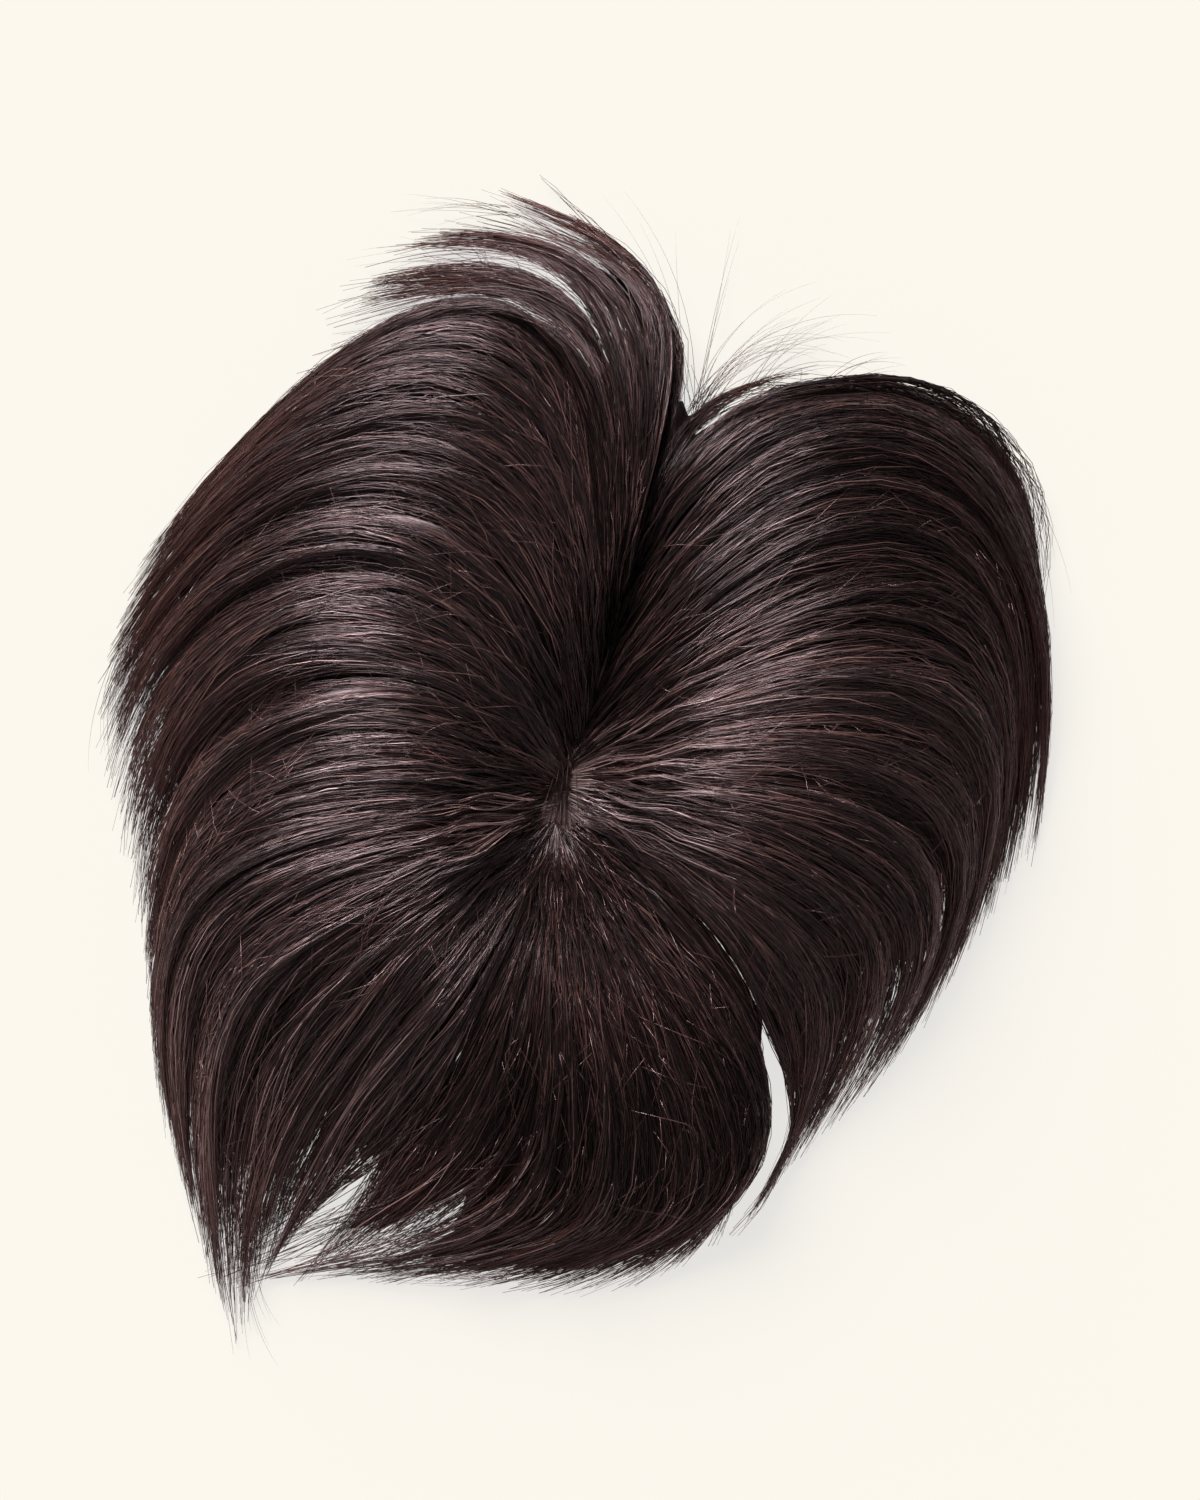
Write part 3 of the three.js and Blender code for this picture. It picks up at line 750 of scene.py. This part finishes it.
# Several layers of hair as one piece
def hair_piece(name, layers):
    corners = []
    uvs = []
    faces = [[], [], []]
    offset = 0
    for paths, radii, tones in layers:
        turn = RANDOM.uniform(0, 2 * math.pi, len(paths))
        part_corners, part_faces, part_uvs = tubes(from_crown(paths), radii, tones, turn)
        corners.append(part_corners)
        uvs.append(part_uvs)
        for kind, kind_faces in zip(faces, part_faces):
            kind.append(kind_faces + offset)
        offset += len(part_corners)
    joined = [np.concatenate(kind) for kind in faces]
    return new_piece(name, np.concatenate(corners), joined, np.concatenate(uvs))


print("hairs are", WIDTH_SPREAD[0], "to", WIDTH_SPREAD[1], "times the width of their layer")

# %% [markdown]
# ## The layers of each section
# Every section gets four layers: a low one that closes the bed, the main one, loose hairs on top and
# shorter hairs that root further out. A few more cross the parting. Shares of the count and the other
# values are one row each, and the shortest reach comes from the section's own row.

# %% The hairs of each section
# piece, field, first and last row, hairs, hairs over the parting, shortest reach, finish: a lit or a
# shaded copy of the hair material, the shaded ones painted shade
HAIR_PLAN = [
    ("hairs_forelock", "forelock", (0, 5), 1250, 0, 0.62, "soft"),
    ("hairs_left_front", "left", (0, 4), 1950, 120, 0.86, "medium"),
    ("hairs_left_middle", "left", (4, 8), 1700, 220, 0.82, "bright"),
    ("hairs_left_back", "left", (8, 12), 1450, 40, 0.80, "bright"),
    ("hairs_back", "back", (12, 18), 1900, 40, 0.76, "soft"),
    ("hairs_right_back", "right", (18, 23), 1800, 150, 0.74, "bright"),
    ("hairs_right_front", "right", (23, 27), 1600, 150, 0.76, "dim"),
    ("hairs_valley", "valley", (0, 3), 560, 0, 1.00, "soft"),
]
RINGS = 11
EXTRA_RINGS = 10
LOW_RINGS = 8
LAYERS = [
    {"part": 0.34, "rings": LOW_RINGS, "start": (-0.01, 0.45), "shorter": 0.12, "longest": 0.92,
     "lift": (-0.8, 0.5), "width": 0.40},
    {"part": 0.38, "rings": RINGS, "start": (-0.01, 0.4), "shorter": 0.04, "longest": 0.98,
     "lift": (0.0, 1.2), "width": 0.34},
    {"part": 0.14, "rings": RINGS, "start": (0.0, 0.6), "end": (0.8, 1.05), "lift": (0.6, 2.2),
     "drift": 0.6, "waver": 1.6, "width": 0.22, "clump": 0.4},
    {"part": 0.14, "rings": RINGS, "start": (0.3, 0.7), "end": (0.86, 1.05), "lift": (-0.4, 1.0),
     "drift": 0.9, "waver": 1.2, "width": 0.28, "clump": 0.7},
]
hair_pieces = {"bright": [], "medium": [], "dim": [], "soft": [], "light": [], "streaks": []}


# One of the section's layers, with its share of the hairs
def lay_layer(field, count, shortest, span, layer):
    values = dict(layer)
    part = values.pop("part")
    if "longest" in values:
        values["end"] = (shortest - values.pop("shorter"), values.pop("longest"))
    return lay_hairs(field, int(count * part), values.pop("rings"), span=span, **values)


for name, source, span, count, over_parting, shortest, finish in HAIR_PLAN:
    field = FIELDS[source]
    layers = [lay_layer(field, count, shortest, span, layer) for layer in LAYERS]
    if over_parting:
        layers.append(lay_hairs(field, over_parting, RINGS, start=(-0.028, 0.0), end=(0.3, 0.8),
                                lift=(-0.2, 0.9), clump=0.1, width=0.34, span=span))
    hair_pieces[finish].append(hair_piece(name, layers))

# %% [markdown]
# ## Wisps, streaks and edges
# Some hairs have a place of their own. Wisps fill out the ends of the front lock, in the shaded copy
# of the hair, painted shade. Lighter streaks lie over the left and the back, paler hairs that are partly
# painted highlight. Edge hairs close the outer edges, where the bed stops, in the half-lit copy, painted
# shade, and the sweep crosses the others at the lower left.

# %% Wisps, streaks, edges and the sweep
# first row, last row, hairs
WISPS = ((0, 0.9, 90), (1.7, 2.3, 130), (2.7, 3.3, 220))
# field, first row, last row, earliest begin, hairs
STREAKS = (("left", 8, 12, 0.25, 320), ("back", 12, 18, 0.55, 150))
EDGE_FILL = (
    ("left", 1.5, 6.5, 0.4, 260), ("right", 23.5, 26.9, 0.4, 130), ("right", 26.1, 26.97, 0.05, 110),
)
# The wisps take the shaded copy of the hair: painted shade.
hair_pieces["soft"].append(hair_piece("hairs_wisps", [
    lay_hairs(FIELDS["forelock"], count, EXTRA_RINGS, start=(0.3, 0.55), end=(0.78, 1.0),
              lift=(-0.4, 0.6), drift=0.15, clump=0.9, waver=0.6, width=0.32, span=(first, last))
    for first, last, count in WISPS
]))
# The streak hairs are paler: partly lighter hairs, partly painted highlight.
hair_pieces["streaks"].append(hair_piece("hairs_streaks", [
    lay_hairs(FIELDS[source], count, EXTRA_RINGS, start=(begin, 0.75), end=(0.8, 1.0),
              lift=(1.4, 2.4), drift=0.5, clump=0.5, waver=1.2, width=0.25, span=(first, last))
    for source, first, last, begin, count in STREAKS
]))
# The edge hairs take the half-lit copy of the hair: painted shade.
hair_pieces["medium"].append(hair_piece("hairs_edge", [
    lay_hairs(FIELDS[source], count, EXTRA_RINGS, start=(begin, begin + 0.3), end=(0.88, 1.02),
              lift=(-0.6, 0.4), drift=0.4, clump=0.1, waver=0.8, width=0.3, span=(first, last),
              gather=(0.62, 0.1))
    for source, first, last, begin, count in EDGE_FILL
]))
sweep = lay_hairs(FIELDS["sweep"], 260, RINGS, start=(0.45, 0.85), end=(0.85, 1.05), lift=(-0.2, 0.8),
                  drift=0.9, waver=1.2, width=0.26, clump=0.8)
hair_pieces["bright"].append(hair_piece("hairs_sweep", [sweep]))

# %% [markdown]
# ## Round the bare patch
# At the crown the mesh shows through. Short pale roots lie across it, partly pale of their own and
# partly painted light against the shade of the hollow. Darker ones ring it, in the shaded copy of the
# hair, painted shade, and bright ones mark the whorl, where the hairs turn before they fan out, as
# painted highlight.

# %% Roots at the bare patch
# field, hairs, first and last row
PATCH_ROOTS = (("left", 120, (6, 12)), ("back", 80, None), ("right", 130, (18, 22.5)))
PATCH_RING = (("left", 80, (6, 12)), ("back", 120, (12.5, 16)), ("right", 80, (18, 22)))
# The pale roots: partly their own colour, partly painted light against the shade of the hollow.
root_hairs = hair_piece("hairs_at_patch", [
    lay_hairs(FIELDS[source], count, LOW_RINGS, start=(-0.02, 0.03), end=(0.12, 0.4),
              lift=(0.0, 0.8), clump=0.9, width=0.22, span=span, at_patch=True, drift=1.2)
    for source, count, span in PATCH_ROOTS
])
# The ring takes the shaded copy of the hair: painted shade.
hair_pieces["soft"].append(hair_piece("hairs_round_patch", [
    lay_hairs(FIELDS[source], count, LOW_RINGS, start=(-0.02, 0.04), end=(0.2, 0.5),
              lift=(-0.2, 0.8), clump=0.9, width=0.3, span=span, at_patch=True, drift=1.5)
    for source, count, span in PATCH_RING
]))
# Pale hairs by the whorl: painted highlight on the roots where they rise and turn.
hair_pieces["streaks"].append(hair_piece("hairs_by_whorl", [
    lay_hairs(FIELDS["right"], 200, LOW_RINGS, start=(-0.02, 0.05), end=(0.25, 0.5),
              lift=(0.5, 1.8), clump=0.9, width=0.26, span=(18.5, 23.5), at_patch=True, drift=0.4),
    lay_hairs(FIELDS["left"], 90, LOW_RINGS, start=(0.02, 0.06), end=(0.09, 0.18),
              lift=(1.8, 3.0), clump=0.5, width=0.30, span=(7.0, 9.6), at_patch=True, drift=0.3),
]))

# %% Dark hairs that fall over the middle of the bare patch
PATCH_FALL = {
    "x": -1.5, "y": 4.0, "scatter": 1.3, "heading": 262, "spread": 7, "turn": 5, "length": 24,
    "count": 26, "above": (0.8, 0.6), "climb": 4.5, "radius": 0.14,
}


def patch_hairs(plan, rings):
    count = plan["count"]
    step = np.linspace(0, 1, rings)[None]
    heading = plan["heading"] + RANDOM.normal(0, plan["spread"], count)[:, None]
    way = unit(heading + plan["turn"] * step) * plan["length"] / (rings - 1)
    spot = np.array([plan["x"], plan["y"]]) + RANDOM.normal(0, plan["scatter"], (count, 2))
    flat = spot[:, None] + np.cumsum(way, 1) - way
    least, more = plan["above"]
    z = under_height(flat[..., 0], flat[..., 1]) + least
    z = z + RANDOM.uniform(0, more, count)[:, None] + plan["climb"] * step
    radii = np.full(z.shape, plan["radius"])
    tones = tone_steps(RANDOM.random(count))
    return np.concatenate([flat, z[..., None]], 2), radii, tones


# The hairs over the patch take the shaded copy of the hair: painted shade.
hair_pieces["soft"].append(hair_piece("hairs_over_patch", [patch_hairs(PATCH_FALL, LOW_RINGS)]))

# %% [markdown]
# ## Loose hairs
# No head of hair is quite tidy. Light hairs cross the others at a slant, and flyaway hairs leave the
# outline and curve off on their own, most of them at the notch.

# %% Loose light hairs that cross the others
LOOSE_RADIUS = 0.10
CROSSING = {
    "margin": 0.5, "begins": (0.06, 0.8), "bow": 0.25, "above": 0.6, "arch": 1.6, "least": 0.4,
    "rings": 6,
}
# field, hairs, slant in rows, reach as a share of the length
CROSSING_PLAN = (
    ("left", 480, 1.0, (0.10, 0.26)), ("back", 170, 0.7, (0.10, 0.26)),
    ("right", 300, 0.8, (0.10, 0.26)), ("forelock", 90, 0.6, (0.08, 0.2)),
)


def crossing_hairs(field, count, slant, reach):
    section = field["section"]
    first = section["first"] + CROSSING["margin"]
    last = section["last"] - CROSSING["margin"]
    place = RANDOM.uniform(first, last, count)[:, None]
    share = RANDOM.uniform(*CROSSING["begins"], count)[:, None]
    step = np.linspace(0, 1, CROSSING["rings"])[None]
    across = RANDOM.normal(0, slant, count)[:, None]
    along = RANDOM.uniform(*reach, count)[:, None]
    bow = RANDOM.normal(0, CROSSING["bow"], count)[:, None]
    arch = np.sin(math.pi * step)
    place = place + across * step + bow * arch
    paths = sample(field, np.clip(place, section["first"], section["last"]), share + along * step)
    paths[..., 2] += CROSSING["above"] + CROSSING["arch"] * arch * RANDOM.random(count)[:, None]
    paths[..., 2] = np.maximum(paths[..., 2], CROSSING["least"])
    radii = np.broadcast_to(LOOSE_RADIUS * (1.2 - step * 0.8), paths.shape[:2])
    return paths, radii, tone_steps(RANDOM.random(count))


hair_pieces["light"].append(hair_piece("hairs_crossing", [
    crossing_hairs(FIELDS[source], count, slant, reach) for source, count, slant, reach in CROSSING_PLAN
]))

# %% Flyaway hairs
# start_x, start_y, heading, turn, length, count, spread of the heading
FLYAWAYS = [
    (40, 119, 62, -72, 62, 10, 7),
    (42, 120, 55, -58, 74, 9, 6),
    (45, 121, 66, -40, 50, 9, 10),
    (40, 119, 86, -8, 66, 3, 8),
    (41, 119, 78, 4, 70, 2, 3),
    (38, 116, 98, 34, 74, 8, 6),
    (60, 127, 50, -50, 40, 9, 10),
    (85, 130, 40, -45, 34, 7, 10),
    (141, 108, -55, -35, 62, 4, 6),
    (150, 60, -70, -30, 50, 5, 8),
    (-150, 40, 250, 30, 46, 9, 9),
    (-108, -160, 258, 40, 40, 9, 8),
    (-20, 186, 165, 20, 40, 9, 9),
    (-32, 170, 175, 18, 40, 9, 8),
    (-30, 158, 184, 14, 44, 9, 7),
    (-20, -168, 190, -20, 46, 9, 6),
]


FLYING = {
    "bend": (0.6, 1.3), "reach": (0.6, 1.1), "scatter": 2.0, "high": (4, 9), "above": 0.6,
    "arch": 1.5, "tone": (0.4, 1), "rings": 12,
}


def flyaway_hairs(table):
    paths = []
    step = np.linspace(0, 1, FLYING["rings"])[None]
    for x, y, heading, turn, length, count, spread in table:
        first = heading + RANDOM.normal(0, spread, count)[:, None]
        bend = turn * RANDOM.uniform(*FLYING["bend"], count)[:, None]
        reach = length * RANDOM.uniform(*FLYING["reach"], count)[:, None]
        way = unit(first + bend * step) * (reach / (FLYING["rings"] - 1))[..., None]
        spot = np.array([x, y]) + RANDOM.normal(0, FLYING["scatter"], (count, 2))
        flat = spot[:, None] + np.cumsum(way, 1) - way
        high = RANDOM.uniform(*FLYING["high"], count)[:, None]
        z = high * (1 - step) + FLYING["above"] + FLYING["arch"] * np.sin(math.pi * step)
        paths.append(np.concatenate([flat, z[..., None]], 2))
    paths = np.concatenate(paths)
    radii = np.broadcast_to(LOOSE_RADIUS * (1.15 - step), paths.shape[:2])
    return paths, radii, tone_steps(RANDOM.uniform(*FLYING["tone"], len(paths)))


hair_pieces["bright"].append(hair_piece("hairs_flyaway", [flyaway_hairs(FLYAWAYS)]))

# %% [markdown]
# ## Finishes, lit and shaded
# Dark brown hair isn't one brown. Some hairs are nearly black, some are a warmer, redder brown, and
# the tips are a little lighter. The tone is read across the UV map and the warmth along it. Each piece
# of hair then takes a lit or a shaded copy of this material; the darker, less glossy copies are
# painted shade.

# %% Helpers for materials
def make_material(name):
    material = bpy.data.materials.new(name)
    material.use_nodes = True
    return material, material.node_tree.nodes["Principled BSDF"]


def set_inputs(node, values):
    for name, value in values.items():
        node.inputs[name].default_value = value


def add_node(material, kind, values=None):
    node = material.node_tree.nodes.new(kind)
    set_inputs(node, values or {})
    return node


def add_mix(material, second_colour):
    node = add_node(material, "ShaderNodeMix")
    node.data_type = "RGBA"
    node.inputs["B"].default_value = second_colour
    return node


def add_ramp(material, stops):
    node = add_node(material, "ShaderNodeValToRGB")
    elements = node.color_ramp.elements
    elements[0].position = stops[0][0]
    elements[1].position = stops[-1][0]
    for position, _ in stops[1:-1]:
        elements.new(position)
    for element, (_, colour) in zip(elements, stops):
        element.color = (*colour, 1)
    return node


# Each row joins an output of one node to an input of another
def join(material, rows):
    for source, output, target, slot in rows:
        material.node_tree.links.new(source.outputs[output], target.inputs[slot])


# %% Hair colour
DARK_TONE = (0.0045, 0.0022, 0.0021)
MIDDLE_TONE = (0.016, 0.0075, 0.0068)
PALE_TONE = (0.225, 0.110, 0.095)
MIDDLE_AFTER_DARK = 0.13
PALE_AT = 0.66
TIP_COLOUR = (0.16, 0.062, 0.048, 1)
# Pale roots on the bare patch: partly their own colour, partly painted light against the shade there.
ROOT_TONE_AND_PAINTED_LIGHT = (0.74, 0.57, 0.55, 1)
HAIR_SHADER = {"IOR": 1.7, "Specular Tint": (1.0, 0.74, 0.78, 1)}
HAIR_NOISE = {"Scale": 1.0, "Detail": 3.0, "Roughness": 0.7}
TOWARDS_TIP = {"From Min": 0.7, "To Max": 0.65}
NEAR_ROOT = {"From Min": 0.0, "From Max": 0.2, "To Min": 0.9, "To Max": 0.0}
SHINE = {"From Min": 0.35, "From Max": 0.65, "To Min": 0.34, "To Max": 0.18}
TONE_SCALE = 60.0
BED_TONE_SCALE = 500.0


def make_hair_material(name, darkness, gloss, tone_scale=TONE_SCALE, root_tone_and_painted_light=None, floor=0.40,
                       pale=PALE_TONE):
    material, shader = make_material(name)
    set_inputs(shader, {"Specular IOR Level": gloss, **HAIR_SHADER})
    uv = add_node(material, "ShaderNodeUVMap")
    uv.uv_map = "OFBake"
    mapping = add_node(material, "ShaderNodeMapping", {"Scale": (tone_scale, 2.0, 1.0)})
    noise = add_node(material, "ShaderNodeTexNoise", HAIR_NOISE)
    stops = ((floor, DARK_TONE), (floor + MIDDLE_AFTER_DARK, MIDDLE_TONE), (PALE_AT, pale))
    tones = add_ramp(material, [(at, [part * darkness for part in tone]) for at, tone in stops])
    shine = add_node(material, "ShaderNodeMapRange", SHINE)
    parts = add_node(material, "ShaderNodeSeparateXYZ")
    ends = add_node(material, "ShaderNodeMapRange", TOWARDS_TIP)
    colour = add_mix(material, TIP_COLOUR)
    join(material, [
        (uv, "UV", mapping, "Vector"), (mapping, "Vector", noise, "Vector"),
        (noise, "Fac", tones, "Fac"), (noise, "Fac", shine, "Value"),
        (shine, "Result", shader, "Roughness"), (uv, "UV", parts, "Vector"),
        (parts, "Y", ends, "Value"), (ends, "Result", colour, "Factor"),
        (tones, "Color", colour, "A"),
    ])
    # Paler towards the root: partly the root's own colour, partly painted light.
    if root_tone_and_painted_light:
        near_root = add_node(material, "ShaderNodeMapRange", NEAR_ROOT)
        paler = add_mix(material, root_tone_and_painted_light)
        join(material, [
            (parts, "Y", near_root, "Value"), (near_root, "Result", paler, "Factor"),
            (colour, "Result", paler, "A"),
        ])
        colour = paler
    join(material, [(colour, "Result", shader, "Base Color")])
    return material


# Lit and shaded copies of one hair material. The darker, less glossy ones are painted shade for the pieces
# that lie in shade, and the streak copy is paler hair that is partly painted highlight.
HAIR_LIT_AND_SHADED_FINISHES = {
    "bright": make_hair_material("hair_strands", 1.0, 1.0),
    "medium": make_hair_material("hair_half_lit", 0.85, 0.78),
    "soft": make_hair_material("hair_shaded", 0.65, 0.5),
    "dim": make_hair_material("hair_dim", 0.66, 0.62),
    "light": make_hair_material("hair_loose", 1.3, 1.0, floor=0.25),
    "streaks": make_hair_material("hair_streaks_and_highlights", 1.9, 1.0, floor=0.25, pale=(0.26, 0.165, 0.155)),
}
# The bed is painted darker than the hairs: painted shade for the depth between them.
bed_painted_shade_finish = make_hair_material("hair_bed", 0.5, 0.4, tone_scale=BED_TONE_SCALE)
# Roots paled near the root, partly painted light.
root_finish = make_hair_material("hair_roots", 1.0, 0.8, root_tone_and_painted_light=ROOT_TONE_AND_PAINTED_LIGHT)
for finish, pieces in hair_pieces.items():
    for piece in pieces:
        piece.data.materials.append(HAIR_LIT_AND_SHADED_FINISHES[finish])
for piece in beds:
    piece.data.materials.append(bed_painted_shade_finish)
root_hairs.data.materials.append(root_finish)
print("hair finishes:", ", ".join(material.name for material in HAIR_LIT_AND_SHADED_FINISHES.values()))

# %% Cap mesh and clips
# The mesh's own pinkish colour, made paler as painted light against the shade of the hollow round it.
CAP_TONES_AND_PAINTED_LIGHT = ((0, (0.76, 0.58, 0.56)), (1, (0.30, 0.20, 0.20)))
CLIP_TONES = ((0, (0.03, 0.026, 0.026)), (1, (0.06, 0.05, 0.05)))


def make_cap_mesh():
    material, shader = make_material("scalp_mesh")
    set_inputs(shader, {"Roughness": 0.75})
    place = add_node(material, "ShaderNodeTexCoord")
    cells = add_node(material, "ShaderNodeTexVoronoi", {"Scale": 1400.0})
    tones = add_ramp(material, CAP_TONES_AND_PAINTED_LIGHT)
    bump = add_node(material, "ShaderNodeBump", {"Strength": 0.4, "Distance": 0.0002})
    join(material, [
        (place, "Object", cells, "Vector"), (cells, "Distance", tones, "Fac"),
        (tones, "Color", shader, "Base Color"), (cells, "Distance", bump, "Height"),
        (bump, "Normal", shader, "Normal"),
    ])
    return material


def make_clip_metal():
    material, shader = make_material("clip_metal")
    set_inputs(shader, {"Metallic": 0.9})
    place = add_node(material, "ShaderNodeTexCoord")
    noise = add_node(material, "ShaderNodeTexNoise", {"Scale": 900.0})
    rough = add_node(material, "ShaderNodeMapRange", {"To Min": 0.3, "To Max": 0.5})
    tones = add_ramp(material, CLIP_TONES)
    join(material, [
        (place, "Object", noise, "Vector"), (noise, "Fac", rough, "Value"),
        (rough, "Result", shader, "Roughness"), (noise, "Fac", tones, "Fac"),
        (tones, "Color", shader, "Base Color"),
    ])
    return material


def paint_node(name, material):
    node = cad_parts[name]
    node.data.materials.clear()
    node.data.materials.append(material)
    print(name, "is finished as", material.name)


paint_node("base_cap", make_cap_mesh())
clip_finish = make_clip_metal()
for clip_name in ("clip_front", "clip_left", "clip_back", "clip_right"):
    paint_node(clip_name, clip_finish)

# %% [markdown]
# ## Table, camera and light
# The photograph looks straight down on a cream table, with a large soft light beyond the forehead
# end, a little to the left. Where a hair lies square to the middle of light and eye it shines, which
# is why the shine sits on the turn of the hair at both sides. Part of the table's brightness is a glow
# of its own, because the photo's table is evenly bright with hardly a shadow.

# %% The table
TABLE_SIZE = 6
TABLE_TOP = -0.0002
TABLE_LOOK = {
    "Base Color": (0.206, 0.190, 0.128, 1), "Emission Color": (1.0, 0.98, 0.966, 1),
    "Emission Strength": 0.74, "Roughness": 0.9, "Specular IOR Level": 0.1,
}
bpy.ops.object.select_all(action="DESELECT")
bpy.ops.mesh.primitive_plane_add(size=TABLE_SIZE, location=(0, 0, TABLE_TOP))
table = bpy.context.active_object
table.name = "table_top"
table_finish, table_shader = make_material("table_cream")
set_inputs(table_shader, TABLE_LOOK)
table.data.materials.append(table_finish)
print(table.name, "is", TABLE_SIZE, "m wide")

# %% The camera
PHOTO_SIZE = (1200, 1500)
PHOTO_CROWN = (573, 768)
MM_PER_PIXEL = 1 / 3
VIEW_X = (CROWN_X + (PHOTO_SIZE[0] / 2 - PHOTO_CROWN[0]) * MM_PER_PIXEL) * MM
VIEW_Y = (CROWN_Y + (PHOTO_CROWN[1] - PHOTO_SIZE[1] / 2) * MM_PER_PIXEL) * MM
VIEW_HEIGHT = PHOTO_SIZE[1] * MM_PER_PIXEL * MM
CAMERA_HEIGHT = 2.2
SHARP_HEIGHT = 0.015
SENSOR = 24
camera_data = bpy.data.cameras.new("camera")
camera = bpy.data.objects.new("camera", camera_data)
bpy.context.scene.collection.objects.link(camera)
camera.location = (VIEW_X, VIEW_Y, CAMERA_HEIGHT)
camera_data.sensor_fit = "VERTICAL"
camera_data.sensor_height = SENSOR
camera_data.lens = SENSOR * (CAMERA_HEIGHT - SHARP_HEIGHT) / VIEW_HEIGHT
bpy.context.scene.camera = camera
print("the camera looks straight down with a lens of", round(camera_data.lens, 1), "mm")

# %% The light
KEY_LIGHT = {"towards": (-0.32, 0.85, 0.46), "angle": 40, "strength": 6.15}
ROOM_COLOUR = (1, 0.99, 0.98, 1)
ROOM_STRENGTH = 0.22
key_data = bpy.data.lights.new("key", "SUN")
key_data.angle = math.radians(KEY_LIGHT["angle"])
key_data.energy = KEY_LIGHT["strength"]
key = bpy.data.objects.new("key", key_data)
bpy.context.scene.collection.objects.link(key)
key.rotation_euler = (-Vector(KEY_LIGHT["towards"])).to_track_quat("-Z", "Y").to_euler()
world = bpy.data.worlds.new("studio")
bpy.context.scene.world = world
world.use_nodes = True
set_inputs(world.node_tree.nodes["Background"], {"Color": ROOM_COLOUR, "Strength": ROOM_STRENGTH})
bpy.context.scene.view_settings.view_transform = "Standard"
print("one soft sun of", KEY_LIGHT["strength"], "and a room of", ROOM_STRENGTH)

# %% Triangle counts, and the end
loose_pieces = [piece for group in hair_pieces.values() for piece in group]
counts = [sum(len(polygon.vertices) - 2 for polygon in piece.data.polygons)
          for piece in beds + [root_hairs] + loose_pieces]
print("triangles in all:", sum(counts), "most in one piece:", max(counts))
